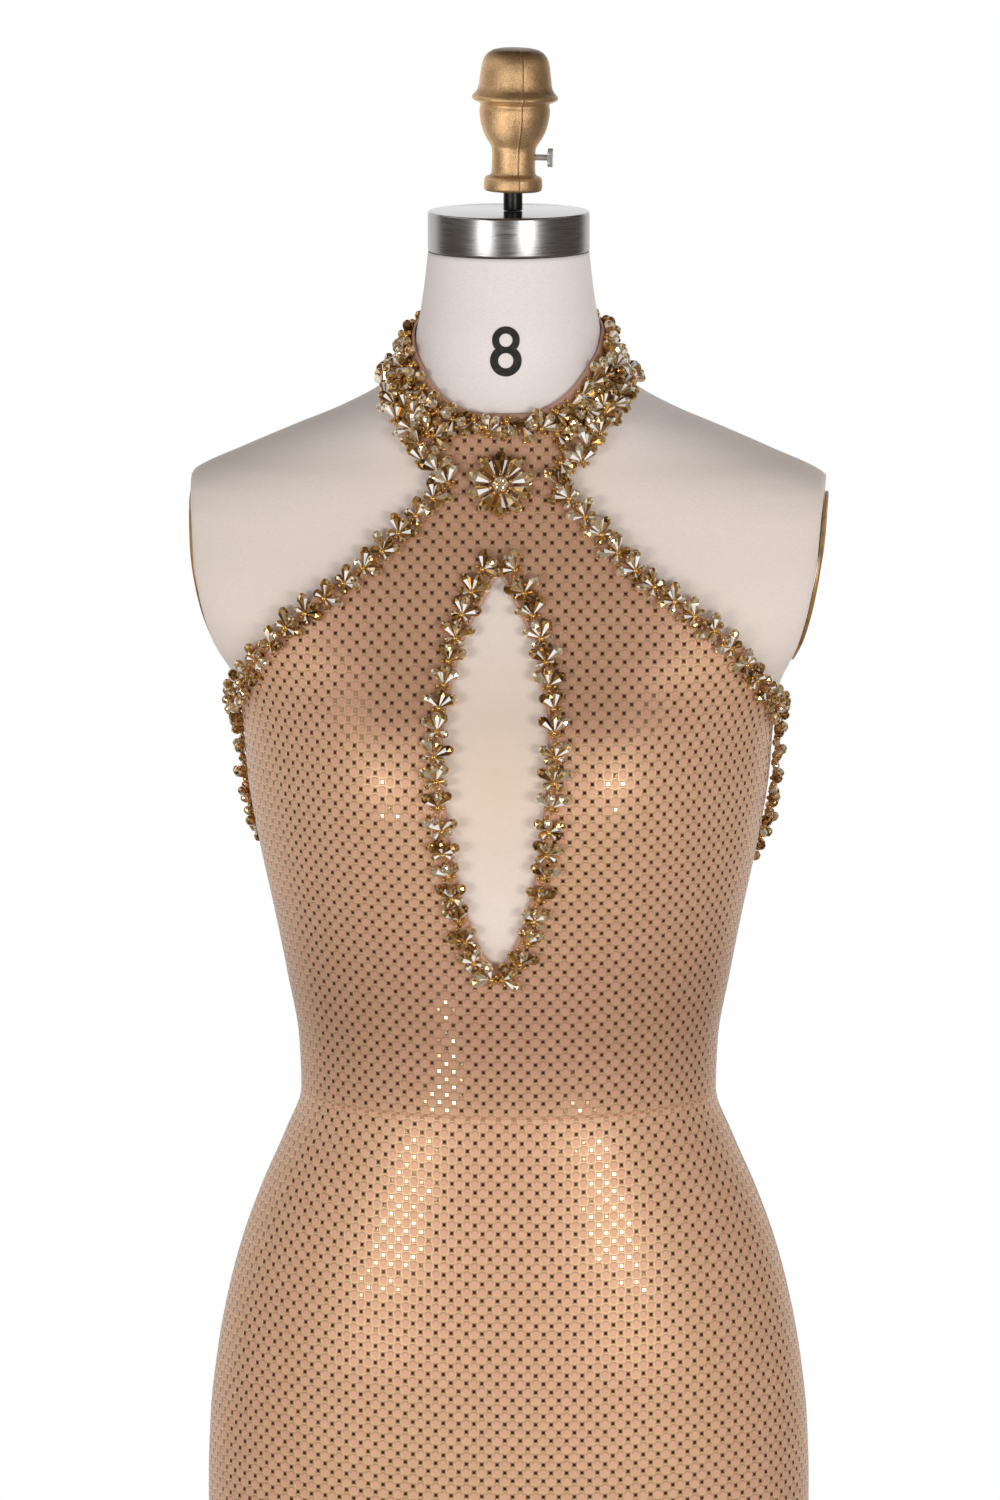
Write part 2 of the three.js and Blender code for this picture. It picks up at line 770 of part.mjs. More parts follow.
add('collar_row_top', beadRow(collarRow(-ROW_END, ROW_END, topRowZ), COLLAR_ROW), crystal);
for (const [side, turn] of [['right', (path) => path], ['left', mirrored]]) {
  const low = turn(collarRow(LOW_ROW_START, ROW_END, lowRowZ));
  const middle = turn(collarRow(MIDDLE_ROW_START, ROW_END, middleRowZ));
  add(`collar_row_low_${side}`, beadRow(low, COLLAR_ROW), crystal);
  add(`collar_row_middle_${side}`, beadRow(middle, COLLAR_ROW), crystal);
  add(`armhole_row_${side}`, beadRow(turn(ARMHOLE_ROW), EDGE_ROW), crystal);
}

function keyholeRow() {
  const right = KEYHOLE_ROW.rows.map(([z, half]) => ({ angle: angleAtX(half, z), z }));
  const left = mirrored(right).slice(1, -1);
  return beadRow([...right, ...left], EDGE_ROW, true);
}
add('keyhole_row', keyholeRow(), crystal);

// Round brooch on the front of the collar: ten drops about a raised middle
const BROOCH = { z: 1479, radius: 18, drops: 10, valley: 0.82, slope: 1.05 };
const BROOCH_RINGS = [
  { share: 0.5, height: 0 },
  { share: 1, height: 0 },
  { share: 1, height: 2.4 },
  { share: 0.72, height: 5.5 },
  { share: 0.4, height: 4.5 },
  { share: 0.2, height: 8 },
];

function brooch() {
  const segments = 2 * BROOCH.drops;
  const turn = steps(0, 2 * Math.PI, segments).slice(0, -1);
  const at = (share, i, height) => {
    const reach = share * BROOCH.radius * (share === 1 && i % 2 ? BROOCH.valley : 1);
    const x = reach * Math.cos(turn[i]);
    const z = BROOCH.z + (reach * Math.sin(turn[i])) / BROOCH.slope;
    return clothOuter(angleAtX(x, z), z, TRIM_GAP + height);
  };
  return solidThroughRings(BROOCH_RINGS.map(({ share, height }) => (
    turn.map((_, i) => at(share, i, height * (i % 2 ? 0.6 : 1))))));
}
add('collar_brooch', brooch(), crystal);

// Hook and bar that close the collar at the centre back
const CLOSURE = { z: 1551, tall: 6, thick: 1.2, gap: 0.4 };

function closurePiece(outline) {
  const shape = new THREE.Shape(outline.map(([x, y]) => new THREE.Vector2(x, y)));
  const geometry = new THREE.ExtrudeGeometry(shape, { depth: CLOSURE.tall, bevelEnabled: false });
  const { normal } = movedOut(formPoint, 180, CLOSURE.z, 0);
  geometry.deleteAttribute('normal');
  geometry.deleteAttribute('uv');
  geometry.translate(0, 0, -CLOSURE.tall / 2);
  geometry.rotateX(Math.atan2(normal.z, normal.y));
  geometry.translate(...clothOuter(180, CLOSURE.z, CLOSURE.gap));
  return withoutSlivers(mergeVertices(geometry, 1e-3));
}
const { thick, gap } = CLOSURE;
const overBar = thick + gap;
const hookTop = overBar + thick;
add('collar_bar', closurePiece([[1.5, 0], [6.5, 0], [6.5, thick], [1.5, thick]]), nickel);
add('collar_hook', closurePiece([
  [-7, 0], [-1.5, 0], [-1.5, overBar], [6, overBar], [6, hookTop], [-2.7, hookTop],
  [-2.7, thick], [-7, thick],
]), nickel);

export default gown;
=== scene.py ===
"""Halter evening gown of beaded net on a limbless dress form.

Sizes are in millimetres, as a pattern gives them, and MM turns them into Blender's metres.
The gown's front faces -Y. An angle is in degrees from the middle of the front towards +X.
"""

import math
import random

import bpy
import numpy as np
from mathutils import Matrix, Quaternion, Vector

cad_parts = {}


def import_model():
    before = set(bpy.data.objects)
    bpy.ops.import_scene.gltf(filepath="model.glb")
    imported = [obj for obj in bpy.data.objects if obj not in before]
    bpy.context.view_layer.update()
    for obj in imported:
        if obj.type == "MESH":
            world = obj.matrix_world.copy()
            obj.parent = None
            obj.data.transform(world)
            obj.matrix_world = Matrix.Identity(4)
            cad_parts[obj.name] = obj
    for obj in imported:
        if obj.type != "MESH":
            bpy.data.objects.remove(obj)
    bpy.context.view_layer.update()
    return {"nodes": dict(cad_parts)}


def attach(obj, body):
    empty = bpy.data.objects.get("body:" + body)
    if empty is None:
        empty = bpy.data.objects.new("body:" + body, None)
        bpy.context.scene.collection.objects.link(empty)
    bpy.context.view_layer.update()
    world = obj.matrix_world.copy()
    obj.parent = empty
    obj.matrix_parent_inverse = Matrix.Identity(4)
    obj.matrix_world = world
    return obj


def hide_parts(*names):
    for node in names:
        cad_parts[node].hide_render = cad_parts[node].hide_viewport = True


MM = 0.001

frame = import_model()

# Driving heights and sizes, as the frame has them
HEM_Z = 28
HIP_Z = 870
WAIST_Z = 1110
BACK_TOP_Z = 1284
NECK_SEAM_Z = 1474
FORM_BOTTOM_Z = 780
NECK_TOP_Z = 1609
CAP_TOP_Z = 1632.6
CAP_RADIUS = 47.4
CLOTH_THICK = 1.4
SEAM_GAP = 0.3
SEAM_SHUT = 0.04
SIDE_SEAM = 94
SIDE_SHUT = 0.08
SKIRT_SQUARE = 2.2
FLUTES = 8
BUST = {"x": 70, "z": 1308, "out": 19, "wide": 44, "above": 42, "below": 50}
BROOCH = {"z": 1479, "radius": 20, "drops": 10}
FINIAL = {"x": 2.5, "z": 1644.3, "lean": 0.022}

# The net: round discs in a diagonal lattice, with a mirror square where four discs meet
BODICE_PITCH = (8.6, 9.5)
SKIRT_PITCH = (9.0, 9.7)
DISC_RADIUS = 0.475
SQUARE_HALF = 0.98
SQUARE_WAIST = 0.82
SQUARE_LIFT = 0.22
SQUARE_TILT = 0.009

# The squares stay this far from a bound edge and a level seam, in mm, and from an upright edge
# and a side seam, in degrees. NO_EDGE is the distance that stands for no bound edge.
EDGE_CLEAR = 2.4
SEAM_CLEAR = 2
TURN_CLEAR = 2.0
SIDE_CLEAR = 0.8
NO_EDGE = 40

# Painted shade on the net where it leans back above the bust, leans forward, or is drawn in over
# the waist: the share for each, what is taken off their sum and the most there is
PAINTED_SHADE = {"back": 1.1, "back_z": 1310, "forward": 0.2, "waist": 0.34, "waist_z": 1165,
         "reach": 60, "less": 0.02, "most": 0.38}

# Bead rows, with the middle line of the collar's rows inside the collar's edges
CLUSTER_PITCH = 14.2
COLLAR_PITCH = 10.2
ROW_END = 170
TOP_INSET = 8.2
LOW_INSET = 6

# The net stops this far inside the tips of the drops that trim it
NET_INSET = 4


class Table:
    """Rows of sizes, read between rows on a smooth curve that never overshoots them."""

    def __init__(self, columns, rows):
        self.columns = columns
        self.rows = np.array(rows, float)
        self.keys = self.rows[:, 0]
        self.slopes = np.stack([curve_slopes(self.keys, c) for c in self.rows.T], 1)

    def at(self, column, key):
        c = self.columns.index(column)
        key = np.clip(np.asarray(key, float), self.keys[0], self.keys[-1])
        i = np.clip(np.searchsorted(self.keys, key) - 1, 0, len(self.keys) - 2)
        span = self.keys[i + 1] - self.keys[i]
        s = (key - self.keys[i]) / span
        rise = 3 * s**2 - 2 * s**3
        value = (1 - rise) * self.rows[i, c] + rise * self.rows[i + 1, c]
        bend = (s**3 - 2 * s**2 + s) * self.slopes[i, c] + (s**3 - s**2) * self.slopes[i + 1, c]
        return value + bend * span


def curve_slopes(keys, values):
    steps = np.diff(keys)
    rise = np.diff(values) / steps
    slopes = np.zeros_like(values)
    slopes[0], slopes[-1] = rise[0], rise[-1]
    for i in range(1, len(values) - 1):
        if rise[i - 1] * rise[i] > 0:
            before = 2 * steps[i] + steps[i - 1]
            after = steps[i] + 2 * steps[i - 1]
            slopes[i] = (before + after) / (before / rise[i - 1] + after / rise[i])
    return slopes


# Horizontal sections of the form: half width, depth in front of and behind the pole, and
# squareness, where 2 is an ellipse
FORM = Table(["z", "half", "front", "back", "square"], [
    [780, 171, 100, 128, 2.2],
    [830, 175, 104, 133, 2.2],
    [870, 177.8, 107, 135, 2.2],
    [910, 176.3, 109, 132, 2.2],
    [950, 171.6, 109, 126, 2.2],
    [990, 163.8, 106, 118, 2.2],
    [1020, 155.5, 103, 110, 2.2],
    [1050, 144.5, 99, 102, 2.2],
    [1080, 131.5, 96.5, 95, 2.15],
    [1110, 121, 95, 90, 2.1],
    [1140, 122, 97.5, 90, 2.1],
    [1180, 128.6, 103, 94, 2.1],
    [1220, 136, 108.5, 98, 2.15],
    [1260, 144, 113, 102, 2.2],
    [1300, 150.5, 115.5, 104, 2.25],
    [1335, 153.5, 113, 106, 2.3],
    [1360, 163, 107, 108, 2.35],
    [1385, 182, 101, 110, 2.4],
    [1410, 196, 94, 111, 2.4],
    [1435, 202, 86, 109, 2.3],
    [1455, 202, 79, 105, 2.2],
    [1470, 196, 74, 100, 2.1],
    [1480, 184, 71, 96, 2],
    [1492, 158, 67, 90, 1.9],
    [1505, 128, 63.5, 82, 1.85],
    [1517, 99, 60.5, 74, 1.85],
    [1530, 75, 57.5, 66, 1.9],
    [1545, 59, 55, 60, 2],
    [1565, 53.5, 53.5, 55, 2],
    [1585, 50, 50.5, 50, 2],
    [1609, 47.2, 47.2, 47.2, 2],
])

# The shoulders end at the arm plates, at this distance from the middle
ARM_END = Table(["z", "half"], [
    [1330, 400], [1354, 161], [1371, 167], [1383, 172], [1407, 178.5], [1431, 182.5],
    [1460, 185], [1480, 187.5], [1500, 400],
])

ARMS_LOW_Z, ARMS_TOP_Z = ARM_END.keys[[0, -1]]

# Below the hip the skirt leaves the form, falls straight and then flares to the hem
SKIRT = Table(["z", "half", "front", "back", "flute"], [
    [28, 228, 222, 222, 9],
    [110, 216, 203, 203, 7],
    [230, 199, 177, 181, 4],
    [380, 184, 148, 156, 1.2],
    [520, 179, 130, 142, 0],
    [680, 178, 117, 137, 0],
    [870, 177.8, 107, 135, 0],
])

# Space left between the form and the cloth over it
EASE = Table(["z", "gap"], [
    [780, 0.8], [870, 0.8], [1000, 1.2], [1110, 1], [1200, 1.5], [1300, 2.2], [1400, 1.9],
    [1475, 1.2], [1530, 1.2], [1570, 0.5],
])

# Edges of the gown
ARMHOLE_EDGE = Table(["z", "angle"], [
    [1284, 94], [1326, 94], [1335, 93], [1343, 89.5], [1350, 83.5], [1357, 76], [1369, 64],
    [1392, 46.9], [1402, 38.8], [1419, 30.2], [1439, 20.9], [1454, 17.4], [1466, 14.6],
    [1474, 12.9],
])
BACK_EDGE = Table(["angle", "z"], [
    [94, 1284], [101, 1267], [120, 1243], [140, 1217], [160, 1193], [180, 1179],
])
COLLAR_EDGES = Table(["angle", "low", "top"], [
    [0, 1474.3, 1520],
    [8, 1474.3, 1520.2],
    [12.9, 1474.3, 1521.2],
    [16, 1484, 1522.4],
    [22, 1495, 1525.5],
    [30, 1504, 1530.5],
    [45, 1514, 1540],
    [65, 1525, 1551.5],
    [90, 1530, 1564.5],
    [130, 1531, 1569.5],
    [180, 1531, 1570],
])
KEYHOLE = Table(["z", "half"], [
    [1207, 0], [1212, 5], [1222, 9.5], [1238, 14.5], [1256, 18.5], [1275, 22], [1295, 24],
    [1320, 26.5], [1345, 26], [1365, 22.5], [1385, 18.5], [1400, 13], [1413, 6.5], [1427, 0],
])

# Middle lines of the bead rows
KEYHOLE_ROW = Table(["z", "half"], [
    [1196, 0], [1199, 7], [1208, 13.5], [1222, 18.5], [1240, 23.5], [1256, 27], [1275, 30.5],
    [1295, 32.5], [1320, 35], [1345, 34.5], [1365, 31], [1385, 27], [1400, 22.5], [1414, 17],
    [1427, 11.5], [1434, 6], [1437, 0],
])
ARMHOLE_ROW = [
    (178, 1171), (158, 1186.5), (138, 1210), (118, 1236), (100, 1259), (94, 1274),
    (91.3, 1291), (90.8, 1308), (90.2, 1325), (87, 1337), (80, 1345), (63.5, 1361),
    (43.7, 1385), (36.6, 1396.5), (27.5, 1412), (20, 1429), (15.2, 1449), (11.4, 1468),
    (9.6, 1479),
]


# Surfaces
def section(angle, half, front, back, square):
    turn = np.radians(angle)
    s, c = np.sin(turn), np.cos(turn)
    x = half * np.sign(s) * np.abs(s) ** (2 / square)
    depth = np.where(c > 0, front, back)
    y = -depth * np.sign(c) * np.abs(c) ** (2 / square)
    return x, y


def bust_out(x, z, angle):
    facing = np.clip(3 * np.cos(np.radians(angle)), 0, 1)
    tall = np.where(z > BUST["z"], BUST["above"], BUST["below"])
    level = np.exp(-(((z - BUST["z"]) / tall) ** 2) / 2)
    sides = sum(np.exp(-(((x - s * BUST["x"]) / BUST["wide"]) ** 2) / 2) for s in (-1, 1))
    return BUST["out"] * facing * level * sides


def form_point(angle, z, soft=0.0):
    """A point of the form. soft rounds the edge of the arm ends by about that much."""
    angle, z = np.broadcast_arrays(np.asarray(angle, float), np.asarray(z, float))
    x, y = section(angle, *(FORM.at(c, z) for c in ("half", "front", "back", "square")))
    y = y - bust_out(x, z, angle)
    end = np.where((z > ARMS_LOW_Z) & (z < ARMS_TOP_Z), ARM_END.at("half", z), 1e3)
    if soft:
        over = (np.abs(x) - end) / soft
        short = np.where(over > 0, 0, over) - 0.3 * np.exp(-np.abs(over))
        x = np.sign(x) * (end + soft * short)
    else:
        x = np.clip(x, -end, end)
    return np.stack([x, y, z], -1)


def skirt_point(angle, z):
    angle, z = np.broadcast_arrays(np.asarray(angle, float), np.asarray(z, float))
    x, y = section(angle, *(SKIRT.at(c, z) for c in ("half", "front", "back")), SKIRT_SQUARE)
    turn = np.radians(angle)
    wave = np.cos(FLUTES * turn + 0.6 * np.sin(4 * turn)) * (1 + 0.25 * np.cos(2 * turn))
    grown = 1 + SKIRT.at("flute", z) * wave / np.hypot(x, y)
    fallen = np.stack([x * grown, y * grown, z], -1)
    return np.where((z >= HIP_Z)[..., None], form_point(angle, z), fallen)


def unit(vectors):
    return vectors / np.linalg.norm(vectors, axis=-1, keepdims=True)


def directions(surface, angle, z):
    """Unit vectors across, up and out of the surface."""
    step = 0.4
    across = surface(angle + step, z) - surface(angle - step, z)
    up = surface(angle, z + step) - surface(angle, z - step)
    out = unit(np.cross(across, up))
    across = unit(across)
    return across, np.cross(out, across), out


def cloth_outer(angle, z, above=0.0):
    out = directions(skirt_point, angle, z)[2]
    distance = EASE.at("gap", z) + CLOTH_THICK + above
    return skirt_point(angle, z) + out * distance[..., None]


def angle_at_x(x, z):
    share = np.abs(x) / FORM.at("half", z)
    return np.sign(x) * np.degrees(np.arcsin(share ** (FORM.at("square", z) / 2)))


def run(points):
    """Length along a line of points, from the first to each."""
    return np.concatenate([[0], np.cumsum(np.linalg.norm(np.diff(points, axis=0), axis=1))])


def arc(angles, z, middle=0):
    """Length round the cloth at one height, from the middle angle to each of the angles."""
    along = run(skirt_point(angles, np.full_like(angles, z)))
    return along - np.interp(middle, angles, along)


def arcs(middle, heights):
    """Fine angles across a panel, and the lengths to them at each of the heights."""
    fine = np.linspace(middle - 96, middle + 96, 385)
    return fine, np.array([arc(fine, z, middle) for z in heights])


# Mesh helpers
def add_object(name, data):
    thing = bpy.data.objects.new(name, data)
    bpy.context.scene.collection.objects.link(thing)
    return thing


def mesh_object(name, points, faces, material, smooth=True):
    """points are in millimetres. faces is a list of arrays, each with rows of one length."""
    faces = [np.asarray(f, np.int32) for f in (faces if isinstance(faces, list) else [faces])]
    mesh = bpy.data.meshes.new(name)
    loops = np.concatenate([f.ravel() for f in faces])
    sizes = np.concatenate([np.full(len(f), f.shape[1]) for f in faces])
    mesh.vertices.add(len(points))
    mesh.vertices.foreach_set("co", (np.asarray(points, float) * MM).astype(np.float32).ravel())
    mesh.loops.add(len(loops))
    mesh.loops.foreach_set("vertex_index", loops)
    mesh.polygons.add(len(sizes))
    starts = np.concatenate([[0], np.cumsum(sizes)[:-1]])
    mesh.polygons.foreach_set("loop_start", starts.astype(np.int32))
    mesh.polygons.foreach_set("use_smooth", np.full(len(sizes), smooth))
    mesh.update(calc_edges=True)
    mesh.validate()
    mesh.materials.append(material)
    return add_object(name, mesh)


def grid_faces(rows, columns, start=0, wrap=False):
    """Quads of a grid of points, row by row. Seen with the rows going up, they face the eye."""
    last = columns if wrap else columns - 1
    row, column = np.meshgrid(np.arange(rows - 1), np.arange(last), indexing="ij")
    following = (column + 1) % columns
    a = row * columns + column
    b = row * columns + following
    return start + np.stack([a, b, b + columns, a + columns], -1).reshape(-1, 4)


def attribute(thing, name, values, domain="POINT"):
    layer = thing.data.attributes.new(name, "FLOAT", domain)
    layer.data.foreach_set("value", np.asarray(values, np.float32).ravel())


def lattice_map(thing, across, up):
    """Lays the net's lattice over a panel: a whole number in both directions is a mirror square."""
    layer = thing.data.uv_layers.new(name="lattice")
    corner = np.zeros(len(thing.data.loops), np.int32)
    thing.data.loops.foreach_get("vertex_index", corner)
    both = np.stack([across + up, across - up], -1)[corner]
    layer.data.foreach_set("uv", both.astype(np.float32).ravel())


def ride(thing, slot, *replaced):
    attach(thing, "root")
    if replaced:
        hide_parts(*replaced)
    return thing


class Pile:
    """Many small solids in one mesh. A face strays a little from the tint of its solid, which on a
    faceted stone is painted sparkle.
    """

    def __init__(self, seed):
        self.points, self.faces, self.tints, self.count = [], [], [], 0
        self.stray = np.random.default_rng(seed)

    def add(self, points, faces, tint, stray=0.0, painted_glint=None):
        self.points.append(points)
        self.faces.append(np.asarray(faces) + self.count)
        tints = np.clip(tint + self.stray.normal(0, 1, len(faces)) * stray, 0.1, 1)
        if painted_glint is not None:
            tints[painted_glint] = 0
        self.tints.append(tints)
        self.count += len(points)

    def build(self, name, material, smooth=False):
        faces = np.concatenate(self.faces)
        thing = mesh_object(name, np.concatenate(self.points), faces, material, smooth)
        attribute(thing, "tint", np.concatenate(self.tints), "FACE")
        return thing


# Shader helpers
def new_material(name):
    material = bpy.data.materials.new(name)
    material.use_nodes = True
    material.node_tree.nodes.clear()
    return material, Nodes(material.node_tree)


class Nodes:
    """Short calls for the shader nodes that the materials share."""

    def __init__(self, tree):
        self.tree = tree

    def new(self, kind, *values, **settings):
        """A node with its settings, and a value or a link for each of its first inputs."""
        node = self.tree.nodes.new("ShaderNode" + kind)
        for key, value in settings.items():
            setattr(node, key, value)
        for socket, value in zip(node.inputs, values):
            self.feed(socket, value)
        return node

    def feed(self, socket, value):
        if isinstance(value, bpy.types.NodeSocket):
            self.tree.links.new(value, socket)
        else:
            socket.default_value = value

    def fill(self, node, **values):
        """Gives inputs a value or a link by their names, with _ for a space."""
        for name, value in values.items():
            if value is not None:
                self.feed(node.inputs[name.replace("_", " ")], value)
        return node

    def math(self, operation, *values):
        return self.new("Math", *values, operation=operation).outputs[0]

    def times(self, product, *others):
        for other in others:
            product = self.math("MULTIPLY", product, other)
        return product

    def vector(self, operation, *values):
        node = self.new("VectorMath", *values, operation=operation)
        return node.outputs["Value" if operation in ("LENGTH", "DOT_PRODUCT") else 0]

    def span(self, *values):
        """A smooth step of a value between two bounds, from 0 to 1 or between two more values."""
        return self.new("MapRange", *values, interpolation_type="SMOOTHSTEP").outputs[0]

    def mix(self, share, a, b, kind="RGBA"):
        node = self.new("Mix", data_type=kind)
        return self.fill(node, Factor=share, A=a, B=b).outputs["Result"]

    def blend(self, share, a, b):
        return self.mix(share, a, b, "FLOAT")

    def attribute(self, name):
        return self.new("Attribute", attribute_name=name).outputs["Fac"]

    def noise(self, scale, detail=2.0, vector=None, roughness=0.5):
        return self.fill(self.new("TexNoise"), Scale=scale, Detail=detail, Roughness=roughness,
                         Vector=vector or self.place()).outputs["Fac"]

    def place(self):
        """The point on the object, in metres."""
        return self.new("TexCoord").outputs["Object"]

    def bump(self, height, distance, strength=1.0, normal=None):
        return self.fill(self.new("Bump"), Strength=strength, Distance=distance, Height=height,
                         Normal=normal).outputs["Normal"]

    def surface(self, colour, roughness, metallic=0.0, normal=None, **extra):
        shader = self.fill(self.new("BsdfPrincipled"), Base_Color=colour, Roughness=roughness,
                           Metallic=metallic, Normal=normal, **extra)
        self.new("OutputMaterial", shader.outputs[0])


def rgb(red, green, blue):
    """A display colour, 0 to 255, as the linear colour that a shader takes."""
    parts = [c / 255 for c in (red, green, blue)]
    return [p / 12.92 if p <= 0.04045 else ((p + 0.055) / 1.055) ** 2.4 for p in parts] + [1.0]


# Materials
def net_material():
    """Nude discs with gold rims. The attribute edge is the distance to a bound edge, in mm, and
    the lean attribute the share of painted shade where the cloth leans or is drawn in."""
    material, n = new_material("beaded_net")
    lattice = n.new("UVMap", uv_map="lattice").outputs["UV"]
    from_middle = n.vector("SUBTRACT", n.vector("FRACTION", lattice), (0.5, 0.5, 0.0))
    away = n.vector("LENGTH", from_middle)
    number = n.vector("FLOOR", lattice)
    chance = n.new("TexWhiteNoise", number, noise_dimensions="2D").outputs["Value"]

    def within(inside, outside):
        """1 up to the disc's edge. The bounds are from that edge, in pitches."""
        return n.span(away, DISC_RADIUS + inside, DISC_RADIUS + outside, 1.0, 0.0)

    open_net = n.span(n.attribute("edge"), 1.6, 2.1)
    disc = within(-0.01, 0.01)
    ring_in = n.span(away, DISC_RADIUS - 0.085, DISC_RADIUS - 0.055)
    ring = n.times(ring_in, within(-0.01, 0.015), open_net)
    # A painted shadow inside the upper rim of each disc, as if its raised rim shaded it from above
    upward = n.vector("DOT_PRODUCT", from_middle, (1.0, -1.0, 0.0))
    upper = n.span(n.math("DIVIDE", upward, n.math("MAXIMUM", away, 0.01)), -0.2, 1.1)
    rim_shadow_inner = n.span(away, DISC_RADIUS - 0.22, DISC_RADIUS - 0.11)
    hollow = n.times(rim_shadow_inner, within(-0.10, -0.06), upper)

    cloth = n.mix(chance, rgb(229, 175, 143), rgb(236, 182, 149))
    cloth = n.mix(n.times(n.noise(9000.0), 0.10), cloth, rgb(190, 138, 108))
    # The painted rim shadow darkens the cloth inside each disc
    cloth = n.mix(n.times(hollow, 0.75), cloth, rgb(148, 98, 74))
    colour = n.mix(disc, rgb(194, 140, 106), cloth)
    colour = n.mix(ring, colour, rgb(255, 222, 172))
    # Painted shade where the net leans or is drawn in over the waist
    colour = n.mix(n.attribute("painted_lean_shade"), colour, rgb(122, 74, 52))
    colour = n.mix(open_net, rgb(210, 162, 134), colour)
    raised = n.times(n.math("ADD", n.times(disc, 0.4), ring), open_net)
    normal = n.bump(n.noise(5200.0, 3.0), 0.00005, 0.5, n.bump(raised, 0.0002, 0.6))
    n.surface(colour, n.blend(ring, 0.5, 0.34), n.blend(ring, 0.2, 0.4), normal,
              Sheen_Weight=0.25, Sheen_Roughness=0.35)
    return material


def square_material():
    material, n = new_material("mirror_square")
    colour = n.mix(n.attribute("tint"), rgb(168, 148, 122), rgb(150, 124, 92))
    roughness = n.span(n.noise(800.0), 0.3, 0.7, 0.03, 0.09)
    n.surface(colour, roughness, 1.0)
    return material


def crystal_material():
    """Foiled glass from champagne to deep amber. A facet with the tint 0 is a painted white
    highlight.
    """
    material, n = new_material("crystal")
    ramp = n.new("ValToRGB", n.attribute("tint"))
    stops = [(0.02, rgb(255, 253, 248)), (0.14, rgb(255, 238, 200)), (0.40, rgb(230, 176, 92)),
             (0.70, rgb(158, 110, 46)), (1.0, rgb(64, 36, 10))]
    while len(ramp.color_ramp.elements) < len(stops):
        ramp.color_ramp.elements.new(0.5)
    for element, (place, colour) in zip(ramp.color_ramp.elements, stops):
        element.position, element.color = place, colour
    cloud = n.span(n.noise(900.0, 3.0), 0.42, 0.65, 0.0, 0.4)
    colour = n.mix(cloud, ramp.outputs["Color"], rgb(150, 104, 42))
    # Painted highlight: where the tint is 0 the facet is white, not metallic and rougher
    painted_glint = n.span(n.attribute("tint"), 0.02, 0.06, 1.0, 0.0)
    colour = n.mix(painted_glint, colour, rgb(255, 253, 250))
    n.surface(colour, n.blend(painted_glint, 0.12, 0.4), n.blend(painted_glint, 0.72, 0.0),
              Coat_Weight=0.6, Coat_Roughness=0.03)
    return material


def gold_bead_material():
    material, n = new_material("gold_bead")
    worn = n.span(n.noise(900.0, 3.0), 0.4, 0.65)
    colour = n.mix(worn, rgb(238, 192, 112), rgb(198, 144, 70))
    n.surface(colour, n.blend(worn, 0.16, 0.3), 0.75)
    return material


def linen_material():
    """Stretched linen. The attribute seam is the distance to the nearest sewn seam, in mm."""
    material, n = new_material("linen")
    threads = n.vector("MULTIPLY", n.place(), (1.0, 1.0, 6.0))
    slubs = n.noise(420.0, 4.0, threads, 0.6)
    weave = n.noise(2600.0, 2.0)
    cloud = n.noise(7.0, 3.0)
    colour = n.mix(n.span(slubs, 0.35, 0.7), rgb(248, 238, 234), rgb(241, 229, 224))
    colour = n.mix(n.times(n.span(weave, 0.4, 0.7), 0.3), colour, rgb(206, 194, 186))
    colour = n.mix(n.times(n.span(cloud, 0.4, 0.75), 0.25), colour, rgb(226, 212, 200))
    # Painted warm light bounced from the gown onto the linen
    colour = n.mix(n.attribute("painted_gown_bounce"), colour, rgb(228, 200, 170))
    seam = n.span(n.attribute("seam"), 0.15, 0.9, 1.0, 0.0)
    colour = n.mix(n.times(seam, 0.16), colour, rgb(178, 162, 152))
    normal = n.bump(n.math("SUBTRACT", 1.0, seam), 0.0003, 0.4)
    normal = n.bump(weave, 0.00012, 0.6, normal)
    normal = n.bump(slubs, 0.0002, 0.35, normal)
    n.surface(colour, 0.88, 0.0, normal, Sheen_Weight=0.15)
    return material


def finial_material():
    """Metallic paint on a rough casting, with a casting seam down two sides. An attribute gives the
    share of painted shade: a dark crown, dark grooves and a darker side towards the screw."""
    material, n = new_material("gold_paint")
    speckle = n.noise(1500.0, 4.0, roughness=0.7)
    patch = n.noise(160.0, 3.0)
    colour = n.mix(n.span(speckle, 0.38, 0.66), rgb(214, 168, 116), rgb(244, 209, 162))
    colour = n.mix(n.times(n.span(patch, 0.5, 0.75), 0.3), colour, rgb(190, 144, 96))
    seam = n.span(n.attribute("seam"), 0.2, 0.8, 1.0, 0.0)
    colour = n.mix(n.times(seam, 0.5), colour, rgb(130, 90, 52))
    # Painted shade on the crown, in the grooves and on the screw's side, broken up by the patches
    painted_finial_shade = n.times(n.attribute("painted_finial_shade"), n.span(patch, 0.2, 0.6, 0.75, 1.0))
    colour = n.mix(painted_finial_shade, colour, rgb(118, 84, 52))
    normal = n.bump(speckle, 0.0005, 0.45)
    normal = n.bump(seam, 0.0006, 0.6, normal)
    n.surface(colour, n.span(speckle, 0.3, 0.7, 0.26, 0.44), 0.8, normal)
    return material


